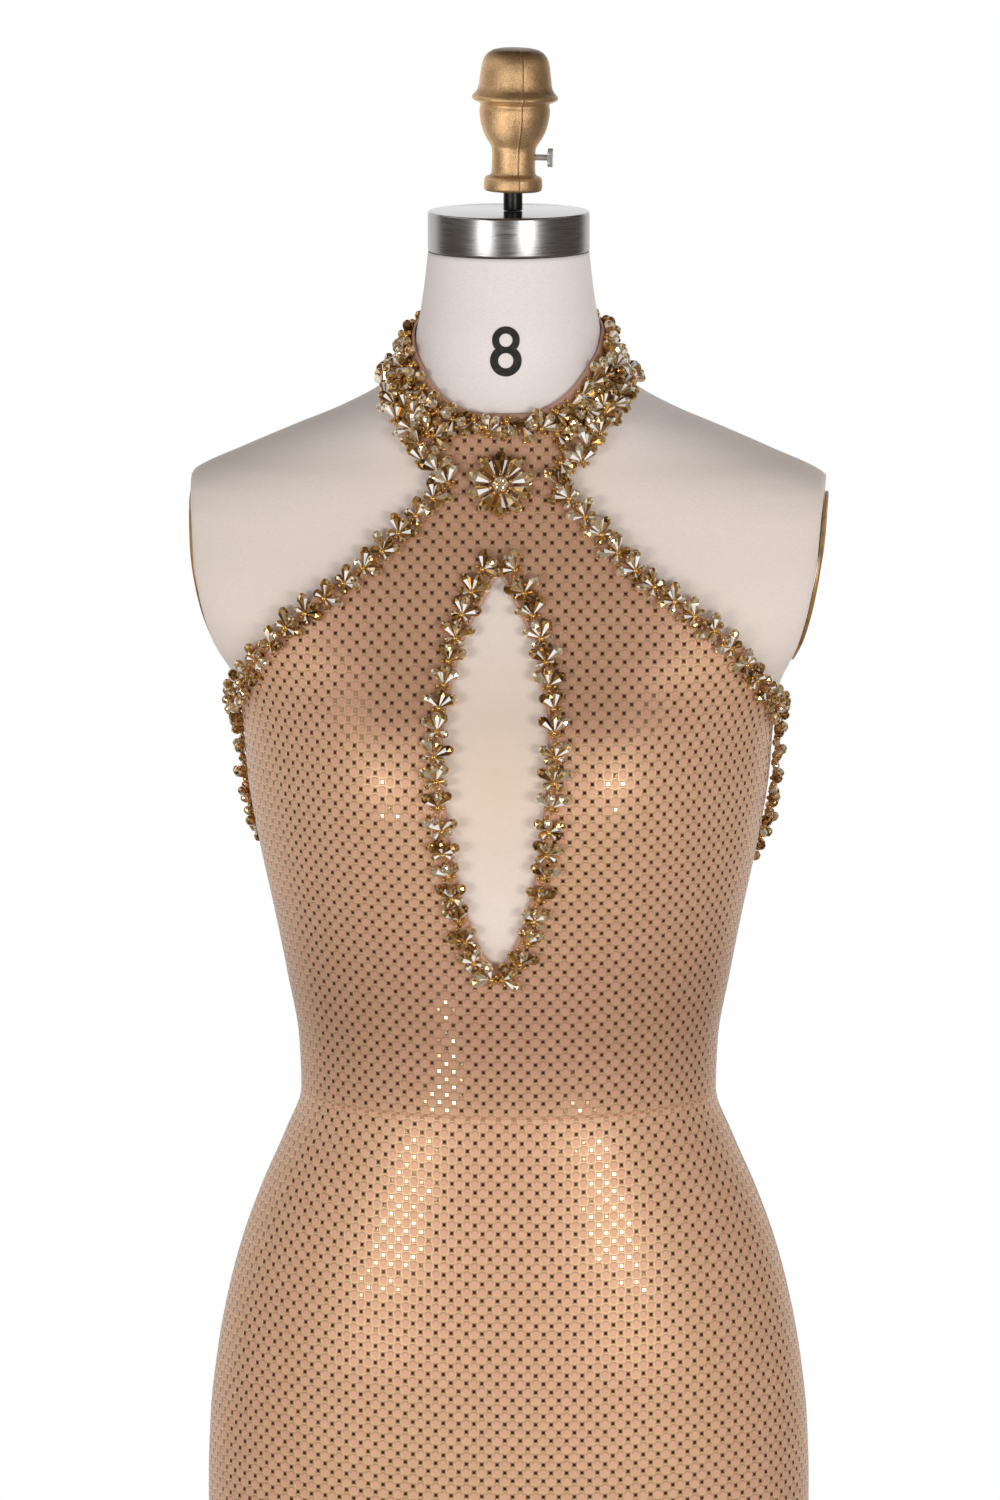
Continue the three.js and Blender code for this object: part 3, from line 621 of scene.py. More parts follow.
def cap_material():
    """Brushed band under a polished top. The attribute polish is 1 on the top."""
    material, n = new_material("brushed_cap")
    stretched = n.vector("MULTIPLY", n.place(), (0.03, 0.03, 1.0))
    lines = n.noise(1700.0, 3.0, stretched, 0.7)
    polish = n.attribute("polish")
    colour = n.mix(n.span(lines, 0.3, 0.7), rgb(160, 159, 159), rgb(184, 183, 182))
    colour = n.mix(polish, colour, rgb(154, 152, 154))
    roughness = n.blend(polish, n.span(lines, 0.3, 0.7, 0.26, 0.36), 0.12)
    height = n.times(lines, n.math("SUBTRACT", 1.0, polish))
    n.surface(colour, roughness, 1.0, n.bump(height, 0.0001, 0.25))
    return material


def metal_material(name, colour, worn, roughness, metallic=1.0, scale=120.0):
    material, n = new_material(name)
    share = n.span(n.noise(scale, 4.0), 0.42, 0.72)
    shade = n.mix(share, colour, worn)
    grain = n.noise(scale * 9, 3.0)
    rough = n.span(grain, 0.3, 0.7, roughness, roughness + 0.12)
    n.surface(shade, rough, metallic, n.bump(grain, 0.0001, 0.25))
    return material


NET = net_material()
SQUARES = square_material()
CRYSTAL = crystal_material()
GOLD_BEAD = gold_bead_material()
LINEN = linen_material()
GOLD_PAINT = finial_material()
CAP = cap_material()
NICKEL = metal_material("nickel", rgb(226, 224, 220), rgb(192, 189, 182), 0.14, 0.6)
BLACK = metal_material("black_metal", rgb(28, 27, 27), rgb(44, 42, 40), 0.3, 0.4)
BRASS = metal_material("arm_plate", rgb(196, 150, 92), rgb(138, 100, 58), 0.34, 0.5)
INK = metal_material("numeral_ink", rgb(24, 23, 22), rgb(48, 45, 42), 0.55, 0.0, 300.0)


# Cloth panels
def cloth_piece(name, angle, z, faces, along, edge, pitch, size):
    """A panel of net, with the length along the cloth and the distance to a bound edge."""
    angle, z = angle.ravel(), z.ravel()
    thing = mesh_object(name, cloth_outer(angle, z), faces, NET)
    lattice_map(thing, along.ravel() / pitch[0], (z - WAIST_Z) / pitch[1])
    attribute(thing, "edge", edge)
    # Painted shade on the net, from its lean and round the drawn-in waist
    lean = directions(skirt_point, angle, z)[2][:, 2]
    back = PAINTED_SHADE["back"] * lean * np.clip((z - PAINTED_SHADE["back_z"]) / PAINTED_SHADE["reach"], 0.1, 1)
    waist = PAINTED_SHADE["waist"] * np.exp(-(((z - PAINTED_SHADE["waist_z"]) / PAINTED_SHADE["reach"]) ** 2))
    shade = np.where(lean > 0, back, -PAINTED_SHADE["forward"] * lean) + waist * (z > WAIST_Z)
    attribute(thing, "painted_lean_shade", np.clip(shade - PAINTED_SHADE["less"], 0, PAINTED_SHADE["most"]))
    wall = thing.modifiers.new("wall", "SOLIDIFY")
    wall.thickness = (CLOTH_THICK - 0.2) * MM
    wall.offset = -1
    ride(thing, "beaded_net", name)


def sheet_size(points, halves=1, fluted=False):
    """The widest and the longest line of a grid of points, and its area in square metres. The
    flutes of a panel are left out of its area."""
    width = np.linalg.norm(np.diff(points, axis=1), axis=2).sum(1)
    length = np.linalg.norm(np.diff(points, axis=0), axis=2).sum(0)
    area = width.mean() * length.mean()
    if not fluted:
        across = points[:-1, 1:] - points[:-1, :-1]
        up = points[1:, :-1] - points[:-1, :-1]
        area = halves * np.linalg.norm(np.cross(across, up), axis=-1).sum()
    return halves * width.max(), length.max(), area * MM * MM


def squares(name, found, seed):
    """Flat mirror squares with slightly hollow sides, on the net at rows of angle and height."""
    chance = np.random.default_rng(seed)
    angle, z = np.concatenate(found).T
    across, up, out = directions(skirt_point, angle, z)
    centres = cloth_outer(angle, z, SQUARE_LIFT)
    tilt = chance.normal(0, SQUARE_TILT, (len(centres), 2))
    across = unit(across + out * tilt[:, :1])
    up = unit(up + out * tilt[:, 1:])
    h, w = SQUARE_HALF, SQUARE_WAIST
    outline = [(-h, -h), (0, -w), (h, -h), (w, 0), (h, h), (0, w), (-h, h), (-w, 0)]
    points = np.stack([centres + x * across + y * up for x, y in outline], 1).reshape(-1, 3)
    faces = np.arange(len(points)).reshape(-1, len(outline))
    thing = mesh_object(name, points, faces, SQUARES, smooth=False)
    attribute(thing, "tint", chance.random(len(faces)), "FACE")
    ride(thing, "beaded_net")


def lattice_squares(name, middle, pitch, low, high, inside, seed):
    """Mirror squares at the lattice's crossings between two heights, where inside says so."""
    found = []
    first, last = (2 * (z - WAIST_Z) / pitch[1] for z in (low, high))
    half_rows = np.arange(math.ceil(first), last)
    heights = WAIST_Z + half_rows * pitch[1] / 2
    fine, lengths = arcs(middle, heights)
    for half_row, z, along in zip(half_rows, heights, lengths):
        count = int(abs(along[0]) / pitch[0])
        steps = (np.arange(-count, count + 1) + 0.5 * (half_row % 2)) * pitch[0]
        steps = steps[np.abs(steps) < min(-along[0], along[-1])]
        angle = np.interp(steps, along, fine)
        keep = inside(angle, np.full_like(angle, z))
        found.append(np.stack([angle[keep], np.full(keep.sum(), z)], 1))
    squares(name, found, seed)


def at_heights(z, heights, lengths):
    """The lengths of a grid's columns, given at some heights, at the heights of its points."""
    return np.stack([np.interp(c, heights, given) for c, given in zip(z.T, lengths.T)], 1)


def skirt(name, middle, seed):
    shut = WAIST_Z - SEAM_SHUT
    rows = np.concatenate([np.linspace(HEM_Z, HIP_Z, 72)[:-1], np.linspace(HIP_Z, shut, 56)[:-1],
                           [shut - 0.3, shut]])
    columns = np.linspace(middle - 90 + SIDE_SHUT, middle + 90 - SIDE_SHUT, 97)
    angle, z = np.meshgrid(columns, rows)
    fine, lengths = arcs(middle, rows)
    along = np.stack([np.interp(columns, fine, row) for row in lengths])
    cloth_piece(name, angle, z, grid_faces(*z.shape), along, z - HEM_Z, SKIRT_PITCH,
                sheet_size(cloth_outer(angle, z), fluted=True))

    def inside(a, h):
        return ((np.abs(a - middle) < 90 - SIDE_CLEAR)
                & (h > HEM_Z + 4) & (h < WAIST_Z - SEAM_CLEAR))

    lattice_squares(name + "_squares", middle, SKIRT_PITCH, HEM_Z, WAIST_Z, inside, seed)


def bodice_edge(z):
    """The net's edge, which lies further in along the armhole and again at the throat."""
    inset = ARMHOLE_EDGE.at("angle", z + 1.2 * NET_INSET)
    inset = inset - 0.8 * np.clip((z - 1330) / 20, 0, 1) - 1.6 * np.clip((z - 1440) / 30, 0, 1)
    return np.where(z < ARMHOLE_EDGE.keys[0], SIDE_SEAM - SIDE_SHUT, inset)


KEYHOLE_LOW, KEYHOLE_TOP = KEYHOLE.keys[0] - NET_INSET, KEYHOLE.keys[-1] + NET_INSET


def keyhole_edge(z):
    """The hole in the net is wider than the one between the stones by the inset."""
    share = (z - KEYHOLE_LOW) / (KEYHOLE_TOP - KEYHOLE_LOW)
    half = KEYHOLE.at("half", KEYHOLE.keys[0] + share * (KEYHOLE.keys[-1] - KEYHOLE.keys[0]))
    half = half * (1 + NET_INSET / 26)
    return np.where((share > 0) & (share < 1), angle_at_x(half, z), 0.0)


def bodice_front():
    low = WAIST_Z + SEAM_SHUT
    near_ends = np.array([0.3, 1, 2, 3.5, 5.5, 8])
    rows = np.unique(np.round(np.concatenate([
        [low + 0.3], np.linspace(low, KEYHOLE_LOW, 22), KEYHOLE_LOW + near_ends,
        KEYHOLE_TOP - near_ends, np.linspace(KEYHOLE_LOW, KEYHOLE_TOP, 96),
        np.linspace(KEYHOLE_TOP, NECK_SEAM_Z + 0.12, 22), [NECK_SEAM_Z - 0.2]]), 3))
    share = np.linspace(0, 1, 64)
    inner, outer = keyhole_edge(rows)[:, None], bodice_edge(rows)[:, None]
    right = inner + (outer - inner) * share
    z = np.repeat(rows[:, None], len(share), 1)
    fine, lengths = arcs(0, rows)
    along = np.stack([np.interp(a, fine, row) for a, row in zip(right, lengths)])
    hem = np.minimum(along[:, -1:] - along, NECK_SEAM_Z + 30 - z)
    hem = np.where(z < ARMHOLE_EDGE.keys[0], NO_EDGE, hem)
    hole = np.where(inner > 0, along - along[:, :1], NO_EDGE)

    # The left half mirrors the right one and shares its middle line above and below the keyhole
    count = right.size
    faces_left = grid_faces(*right.shape, start=count)[:, ::-1]
    closed = np.flatnonzero(inner[:, 0] == 0)
    number = np.arange(2 * count)
    number[count + closed * len(share)] = closed * len(share)
    faces = number[np.concatenate([grid_faces(*right.shape), faces_left])]
    used, faces_used = np.unique(faces, return_inverse=True)
    angle, along = (np.concatenate([a.ravel(), -a.ravel()])[used] for a in (right, along))
    height, edge = (np.tile(a.ravel(), 2)[used] for a in (z, np.minimum(hem, hole)))
    cloth_piece("bodice_front", angle, height, faces_used.reshape(faces.shape), along, edge,
                BODICE_PITCH, sheet_size(cloth_outer(right, z), halves=2))

    def inside(a, h):
        from_hole = np.abs(a) - keyhole_edge(h)
        to_edge = bodice_edge(h) - np.abs(a)
        beside_hole = (h > KEYHOLE_LOW - 3) & (h < KEYHOLE_TOP + 3)
        bound = h > ARMHOLE_EDGE.keys[0]
        return ((to_edge > np.where(bound, TURN_CLEAR, SIDE_CLEAR))
                & (~beside_hole | (from_hole > TURN_CLEAR))
                & (h > WAIST_Z + SEAM_CLEAR) & (h < NECK_SEAM_Z - 0.6))

    lattice_squares("bodice_front_squares", 0, BODICE_PITCH, WAIST_Z, NECK_SEAM_Z, inside, 21)


def bodice_back():
    low = WAIST_Z + SEAM_SHUT
    half = 180 - SIDE_SEAM - SIDE_SHUT
    columns = np.linspace(180 - half, 180 + half, 97)
    top = BACK_EDGE.at("z", 180 - np.abs(180 - columns)) - NET_INSET
    share = np.sort(np.append(np.linspace(0, 1, 34), 0.003))[:, None]
    z = low + (top - low) * share
    angle = np.repeat(columns[None], len(share), 0)
    heights = np.linspace(low, BACK_TOP_Z, 60)
    fine, lengths = arcs(180, heights)
    lengths = np.stack([np.interp(columns, fine, row) for row in lengths])
    cloth_piece("bodice_back", angle, z, grid_faces(*z.shape), at_heights(z, heights, lengths),
                top - z, BODICE_PITCH, sheet_size(cloth_outer(angle, z)))

    def inside(a, h):
        off = 180 - np.abs(180 - a)
        return ((off > SIDE_SEAM + SIDE_CLEAR) & (h > WAIST_Z + SEAM_CLEAR)
                & (h < BACK_EDGE.at("z", off) - NET_INSET - EDGE_CLEAR))

    lattice_squares("bodice_back_squares", 180, BODICE_PITCH, WAIST_Z, BACK_TOP_Z, inside, 22)


def collar():
    """The lattice goes on level from the bodice, so the seam in front doesn't show."""
    columns = np.linspace(-179.5, 179.5, 241)
    raised = NET_INSET * np.clip((np.abs(columns) - 9.8) / 3, 0, 1)
    low = COLLAR_EDGES.at("low", np.abs(columns) + 3) - 0.15 + raised
    top = COLLAR_EDGES.at("top", np.abs(columns))
    share = np.sort(np.append(np.linspace(0, 1, 25), 0.007))[:, None]
    z = low + (top - low) * share
    angle = np.repeat(columns[None], len(share), 0)
    points = cloth_outer(angle, z)
    heights = np.linspace(low.min(), top.max(), 50)
    around = np.array([arc(columns, height) for height in heights])
    rise = np.stack([run(points[:, k]) for k in range(len(columns))], 1)
    edge = np.minimum(rise[-1:] - rise, np.where(np.abs(angle) > 10.2, rise, NO_EDGE))
    cloth_piece("collar", angle, z, grid_faces(*z.shape), at_heights(z, heights, around), edge,
                BODICE_PITCH, sheet_size(points))

    found = []
    wide, tall = BODICE_PITCH
    for half_row in range(math.ceil((low.min() - WAIST_Z) / tall * 2),
                          math.floor((top.max() - WAIST_Z) / tall * 2)):
        height = WAIST_Z + half_row * tall / 2
        along = arc(columns, height)
        count = int(along[-1] / wide)
        steps = (np.arange(-count, count) + 0.5 * (half_row % 2)) * wide
        at = np.interp(steps, along, columns)
        inside = (height > np.interp(at, columns, low) + EDGE_CLEAR * (np.abs(at) > 10)) \
            & (height < np.interp(at, columns, top) - EDGE_CLEAR)
        found.append(np.stack([at[inside], np.full(inside.sum(), height)], 1))
    squares("collar_squares", found, 23)


skirt("skirt_front", 0, 11)
skirt("skirt_back", 180, 12)
bodice_front()
bodice_back()
collar()


# Stones
DROP_SIDES = 8


def drop_shape():
    """A faceted pear of length 1 along +Y and greatest radius 1, with its root at the origin.
    Each side has eight faces, and the second and third make its long facet."""
    pitch = 2 * math.pi / DROP_SIDES
    points = [[0, 0, 0]]
    for y, radius, shift in ((0.10, 0.22, 0), (0.66, 1, 0), (0.86, 0.82, 0.5), (0.97, 0.42, 0)):
        turns = [(i + shift) * pitch for i in range(DROP_SIDES)]
        points += [[radius * math.cos(a), y, radius * math.sin(a)] for a in turns]
    points.append([0, 1, 0])
    tip = len(points) - 1
    faces = []
    for i in range(DROP_SIDES):
        a, c, e, g = (1 + ring * DROP_SIDES + i for ring in range(4))
        b, d, f, h = (1 + ring * DROP_SIDES + (i + 1) % DROP_SIDES for ring in range(4))
        faces += [[0, a, b], [a, c, d], [a, d, b], [c, e, d],
                  [d, e, f], [e, h, f], [e, g, h], [g, tip, h]]
    return np.array(points, float), np.array(faces)


def ball_shape(rows=4, columns=8):
    """A small round bead of radius 1."""
    points, faces = [[0, 0, -1]], []
    for r in range(1, rows):
        polar = math.pi * r / rows
        for c in range(columns):
            a = 2 * math.pi * c / columns
            flat = math.sin(polar)
            points.append([flat * math.cos(a), flat * math.sin(a), -math.cos(polar)])
    points.append([0, 0, 1])
    for c in range(columns):
        here = [1 + r * columns + c for r in range(rows - 1)]
        there = [1 + r * columns + (c + 1) % columns for r in range(rows - 1)]
        faces.append([0, there[0], here[0]])
        for r in range(rows - 2):
            faces += [[here[r], there[r], there[r + 1]], [here[r], there[r + 1], here[r + 1]]]
        faces.append([here[-1], there[-1], len(points) - 1])
    return np.array(points, float), np.array(faces)


DROP, BALL = drop_shape(), ball_shape()


def heading(first, second, turn):
    """The direction at a turn, in radians, from the first towards the second."""
    return math.cos(turn) * first + math.sin(turn) * second


def place_drop(pile, root, axis, out, length, width, spin, tint, lit=0):
    """Adds a drop whose root is at a point and which points along an axis. One long facet on
    its outer side gets a painted highlight, lit facets round from the outermost. None does if lit
    is over 2."""
    side = unit(np.cross(axis, out))
    top = np.cross(side, axis)
    points, faces = DROP
    local = points * [width / 2, length, width / 2]
    frame_of_drop = np.stack([heading(side, top, spin), axis, heading(top, -side, spin)])
    facet = (round((math.pi / 2 - spin) / (2 * math.pi / DROP_SIDES) - 0.5) + lit) % DROP_SIDES
    painted_glint = None if abs(lit) > 2 else len(faces) // DROP_SIDES * facet + np.array([1, 2])
    # Each facet's tint strays a little from the drop's, as painted sparkle
    pile.add(root + local @ frame_of_drop, faces, tint, 0.26, painted_glint)


def place_ball(pile, centre, radius, tint):
    points, faces = BALL
    pile.add(centre + points * radius, faces, tint)


def stations(path, pitch):
    """Even places along a path of (angle, height) on the cloth, with their directions."""
    rows = np.array(path, float)
    route = Table(["key", "angle", "z"], np.column_stack([run(cloth_outer(*rows.T)), rows]))
    fine = np.linspace(0, route.keys[-1], 800)
    angle, z = route.at("angle", fine), route.at("z", fine)
    points = cloth_outer(angle, z)
    length = run(points)
    count = round(length[-1] / pitch)
    wanted = (np.arange(count) + 0.5) * length[-1] / count
    ahead, behind = (np.stack([np.interp(wanted + step, length, p) for p in points.T], 1)
                     for step in (1, -1))
    angle, z = np.interp(wanted, length, angle), np.interp(wanted, length, z)
    out = directions(skirt_point, angle, z)[2]
    along = unit(ahead - behind)
    return cloth_outer(angle, z), along, unit(np.cross(along, out)), out


def cluster(stones, beads, place, along, side, out, chance, size, filled):
    """Two drops that spread from a root bead, one between them, and small beads about them.
    A filled one has two short drops more, which close the gap to the cluster behind it. A drop
    has its yaw and lift in degrees, its length and its width."""
    root = place + out * 2.4 - along * 3.6 * size
    spread = chance.uniform(42, 56)
    drops = [(-spread, 13, 11.0, 6.3), (spread, 13, 11.0, 6.3),
             (chance.uniform(-12, 12), 30, 10.2, 5.6)]
    if filled:
        drops += [(-116, 6, 6.6, 4.8), (116, 6, 6.6, 4.8)]
    for yaw, lift, length, width in drops:
        flat = heading(along, side, math.radians(yaw + chance.uniform(-10, 10)))
        axis = heading(flat, out, math.radians(lift + chance.uniform(-8, 9)))
        grown = size * chance.uniform(0.94, 1.06)
        place_drop(stones, root + axis * 0.6, axis, out, length * grown, width * grown,
                   chance.uniform(0, 0.8), chance.betavariate(1.6, 2.6),
                   chance.choice((-1, 0, 0, 1, 3)))
    place_ball(beads, root - along * 0.5 + out * 0.8, 1.9 * size, chance.random())
    for yaw, reach, radius in ((-24, 4.6, 1.3), (25, 4.6, 1.3), (180, 3.0, 1.2), (112, 3.4, 1.2),
                               (-112, 3.4, 1.2), (chance.uniform(-20, 20), 8.6, 1.1)):
        flat = heading(along, side, math.radians(yaw + chance.uniform(-10, 10)))
        place_ball(beads, root + flat * reach * size + out * chance.uniform(-0.9, 0.8), radius,
                   chance.random())


def add_stones(name, stones, beads):
    ride(stones.build(name, CRYSTAL), "crystal", name)
    ride(beads.build(name + "_beads", GOLD_BEAD, smooth=True), "crystal")


def bead_row(name, paths, pitch, seed, wander, size, full=0.0):
    """Clusters along one path or more, of which the share full are filled."""
    chance = random.Random(seed)
    stones, beads = Pile(seed), Pile(seed)
    for path in paths:
        for place, along, side, out in zip(*stations(path, pitch)):
            first = heading(along, side, chance.uniform(-wander, wander))
            filled = chance.random() < full if 0 < full < 1 else full == 1
            cluster(stones, beads, place, first, np.cross(first, out), out, chance, size, filled)
    add_stones(name, stones, beads)


def mirrored(path):
    return [(-angle, z) for angle, z in path]


def collar_path(first, last, height):
    return [(a, float(height(abs(a)))) for a in np.linspace(first, last, 33)]


def top_row(angle):
    return COLLAR_EDGES.at("top", angle) - TOP_INSET


def low_row(angle):
    return COLLAR_EDGES.at("low", angle) + LOW_INSET


def middle_row(angle):
    return max((top_row(angle) + low_row(angle)) / 2, top_row(angle) - 9.5)


bead_row("collar_row_top", [collar_path(-ROW_END, ROW_END, top_row)], COLLAR_PITCH, 31, 1.3, 1.02)
for side_name, turned_to, seed in (("right", list, 41), ("left", mirrored, 51)):
    throat = [(9.6, 1478), (12, 1487)] + collar_path(17, ROW_END, low_row)
    between = collar_path(15, ROW_END, middle_row)
    bead_row(f"collar_row_low_{side_name}", [turned_to(throat)], COLLAR_PITCH, seed, 0.9, 1.04)
    bead_row(f"collar_row_middle_{side_name}", [turned_to(between)], COLLAR_PITCH, seed + 1, 3, 1)
    bead_row(f"armhole_row_{side_name}", [turned_to(ARMHOLE_ROW)], CLUSTER_PITCH, seed + 2, 0.15,
             1.04, full=1)

# Both sides of the keyhole point up, as the photographed trim does
keyhole_side = [(float(angle_at_x(half, z)), z) for z, half in KEYHOLE_ROW.rows]
bead_row("keyhole_row", [keyhole_side, mirrored(keyhole_side)], CLUSTER_PITCH, 61, 0.15, 1.04,
         full=0.45)


def brooch():
    """Ten long drops about a raised middle of round beads."""
    chance = random.Random(71)
    stones, beads = Pile(71), Pile(71)
    spot = np.zeros(1), np.array([float(BROOCH["z"])])
    across, up, out = (d[0] for d in directions(skirt_point, *spot))
    middle = cloth_outer(*spot)[0]
    pitch = 2 * math.pi / BROOCH["drops"]
    for i in range(BROOCH["drops"]):
        turn = pitch * (i + 0.5)
        flat = heading(across, up, turn)
        amber = 0.95 if 0.3 < turn / math.pi < 0.7 else chance.uniform(0.1, 0.5)
        place_drop(stones, middle + out * 3.0 + flat * 4.4, unit(flat + 0.22 * out), out,
                   BROOCH["radius"] - 4.2, 8.2, chance.uniform(0, 0.8), amber,
                   chance.choice((-1, 0, 1)))
        place_ball(beads, middle + flat * 6.0 + out * 5.4, 1.3, chance.random())
        gap = heading(across, up, turn + pitch / 2)
        place_ball(beads, middle + gap * 12.5 + out * 2.6, 1.2, chance.random())
    for i in range(6):
        axis = unit(0.55 * heading(across, up, math.pi * i / 3) + out)
        place_drop(stones, middle + out * 3.2, axis, across, 7.2, 5.2, 0.3, 0.12, i % 3)
    place_ball(beads, middle + out * 8.6, 1.5, 0.3)
    add_stones("collar_brooch", stones, beads)


brooch()


# Dress form
def circle(count):
    return np.linspace(0, 2 * math.pi, count, endpoint=False)


def torso():
    """The columns lie closer at the arm ends than at the front and the back."""
    columns = 220
    turn = circle(columns)
    rows = np.concatenate([
        np.linspace(FORM_BOTTOM_Z, ARMS_LOW_Z, 90)[:-1],
        np.linspace(ARMS_LOW_Z, ARMS_TOP_Z, 90)[:-1], np.linspace(ARMS_TOP_Z, NECK_TOP_Z, 45)])
    angle, z = (g.ravel() for g in np.meshgrid(np.degrees(turn + 0.24 * np.sin(2 * turn)), rows))
    points = form_point(angle, z, soft=1.6)
    foot = np.arange(columns)[None]
    head = foot + (len(rows) - 1) * columns
    faces = [grid_faces(len(rows), columns, wrap=True), foot[:, ::-1], head]
    thing = mesh_object("form_body", points, faces, LINEN)
    for end in thing.data.polygons[-2:]:
        end.use_smooth = False

    # Seven seams run up the body, and one up the back of the neck
    girth = np.radians(1) * np.hypot(points[:, 0], points[:, 1])
    angle = angle % 360
    body = np.abs(angle[:, None] - [38, 90, 142, 180, 218, 270, 322]).min(1)
    attribute(thing, "seam", girth * np.where(z > ARMS_TOP_Z, np.abs(angle - 180), body))

    # Painted warm bounce light from the gown, inside the keyhole and a little on the body
    # against the neck
    painted_gown_bounce = np.exp(-(((z - 1317) / 90) ** 2) - (points[:, 0] / 45) ** 2) * (points[:, 1] < 0)
    attribute(thing, "painted_gown_bounce", np.maximum(0.7 * painted_gown_bounce, 0.28 * np.clip((1530 - z) / 40, 0, 1)))
    ride(thing, "linen", "form_torso")


def arm_plates():
    """Oval plates on the arm ends, each with a raised rim."""
    turn = circle(72)
    rings = [(0.0, 2.0), (0.86, 2.0), (0.89, 2.6), (0.96, 2.6), (1.0, 2.1), (1.0, 0.5)]
    for name, side in (("arm_plate_right", 1), ("arm_plate_left", -1)):
        points = []
        for share, out in rings:
            z = 1418 + 50 * share * np.cos(turn)
            y = 5 + 40 * share * np.sin(turn) * side
            points.append(np.stack([side * (ARM_END.at("half", z) + out), y, z], -1))
        faces = grid_faces(len(rings), len(turn), wrap=True)
        ride(mesh_object(name + "_oval", np.concatenate(points), faces, BRASS), "arm_plate", name)


torso()
arm_plates()


# Turned pieces
def softened(profile, radius, steps=4):
    """The profile with each corner rounded by a short arc."""
    points = [np.array(p, float) for p in profile]
    result = [points[0]]
    for before, corner, after in zip(points, points[1:], points[2:]):
        first, last = before - corner, after - corner
        reach = min(radius, np.linalg.norm(first) * 0.45, np.linalg.norm(last) * 0.45)
        start = corner + first / np.linalg.norm(first) * reach
        end = corner + last / np.linalg.norm(last) * reach
        for i in range(steps + 1):
            s = i / steps
            result.append((1 - s) ** 2 * start + 2 * s * (1 - s) * corner + s**2 * end)
    result.append(points[-1])
    return result


def turned(name, profile, material, segments=96):
    """A closed solid turned about Z. The profile starts and ends on the axis."""
    turn = circle(segments)
    inner = profile[1:-1]
    rings = [np.stack([r * np.cos(turn), r * np.sin(turn), np.full_like(turn, z)], -1)
             for r, z in inner]
    count = len(inner) * segments
    points = np.concatenate(rings + [[[0, 0, profile[0][1]], [0, 0, profile[-1][1]]]])
    i = np.arange(segments)
    following = (i + 1) % segments
    foot = np.stack([np.full(segments, count), following, i], 1)
    head = np.stack([np.full(segments, count + 1), i, following], 1)
    head[:, 1:] += count - segments
    faces = [grid_faces(len(inner), segments, wrap=True), foot, head]
    return mesh_object(name, points, faces, material)


def sharpen(thing, degrees=32):
    """Smooth over soft bends and crisp over hard ones."""
    thing.data.set_sharp_from_angle(angle=math.radians(degrees))


def spots_of(thing):
    """The points of a mesh, in millimetres."""
    return np.array([v.co for v in thing.data.vertices]) / MM


def rod_profile(radius, low, high):
    return [(0, low), (radius, low), (radius, high), (0, high)]


def neck_cap():
    profile = softened(rod_profile(CAP_RADIUS, NECK_TOP_Z + SEAM_GAP, CAP_TOP_Z), 1.3, 5)
    cap = turned("cap_band", profile, CAP, 160)
    sharpen(cap)
    x, y, z = spots_of(cap).T
    attribute(cap, "polish", (z > CAP_TOP_Z - 0.9) | (np.hypot(x, y) < CAP_RADIUS - 1.2))
    ride(cap, "brushed_cap", "neck_cap")


def neck_rod():
    profile = rod_profile(5.6, CAP_TOP_Z + SEAM_GAP, FINIAL["z"] - SEAM_GAP)
    rod = turned("rod", softened(profile, 0.5), BLACK, 48)
    sharpen(rod)
    rod.location.x = FINIAL["x"] * MM
    ride(rod, "black_metal", "neck_rod")


def stand_finial(thing):
    thing.location = (FINIAL["x"] * MM, 0, FINIAL["z"] * MM)
    thing.rotation_euler = (0, FINIAL["lean"], 0)


FINIAL_PROFILE = [
    (0, 0), (15.9, 0), (17.1, 1.2), (17.2, 4), (16.9, 7.2), (16, 8.4), (14, 9), (13, 10.2),
    (12.7, 14), (12.7, 23), (13.2, 26), (14.6, 28.2), (16.5, 31), (18.2, 34.6), (19.6, 39),
    (20.5, 44), (20.7, 48), (20.2, 50), (20.3, 51.2), (22.6, 52.4), (24.7, 53.4), (25.4, 54.6),
    (24.9, 55.8), (23.2, 57.4), (22, 59.4), (21.3, 62.5), (20.8, 67), (20.2, 72), (19.4, 75.6),
    (18.2, 78.4), (16.2, 80.8), (13.3, 82.5), (9.5, 83.3), (5, 83.6), (0, 83.7),
]
SCREW_Z = 20

def lay_across(thing):
    """Turns an upright solid to lie along X, at the height of the finial's cross hole."""
    across = Matrix.Rotation(math.pi / 2, 4, "Y")
    thing.data.transform(Matrix.Translation((0, 0, SCREW_Z * MM)) @ across)


def finial():
    body = turned("finial_casting", softened(FINIAL_PROFILE, 0.8, 3), GOLD_PAINT, 120)
    drill = turned("drill", rod_profile(2.2, -20, 20), GOLD_PAINT, 24)
    lay_across(drill)
    hole = body.modifiers.new("hole", "BOOLEAN")
    hole.operation, hole.object, hole.solver = "DIFFERENCE", drill, "EXACT"
    shown = body.evaluated_get(bpy.context.evaluated_depsgraph_get())
    cut = bpy.data.meshes.new_from_object(shown)
    body.modifiers.clear()
    body.data = cut
    bpy.data.objects.remove(drill)
    sharpen(body)

    # A casting seam down two sides, and painted shade on the crown, in the grooves and on the
    # screw's side
    x, y, z = spots_of(body).T
    away = np.abs(np.angle(np.exp(2j * (np.arctan2(y, x) + math.radians(75))))) / 2
    attribute(body, "seam", away * np.hypot(x, y))
    groove = np.exp(-(((z - 58.5) / 2) ** 2)) + 0.8 * np.exp(-((z - 9.5) ** 2))
    screw_side_shade = 0.4 * np.clip((x - 6) / 12, 0, 1)
    attribute(body, "painted_finial_shade", np.clip(np.clip((z - 75) / 8, 0, 0.9) + 0.6 * groove + screw_side_shade, 0, 1))
    stand_finial(body)
    ride(body, "gold_paint", "finial")


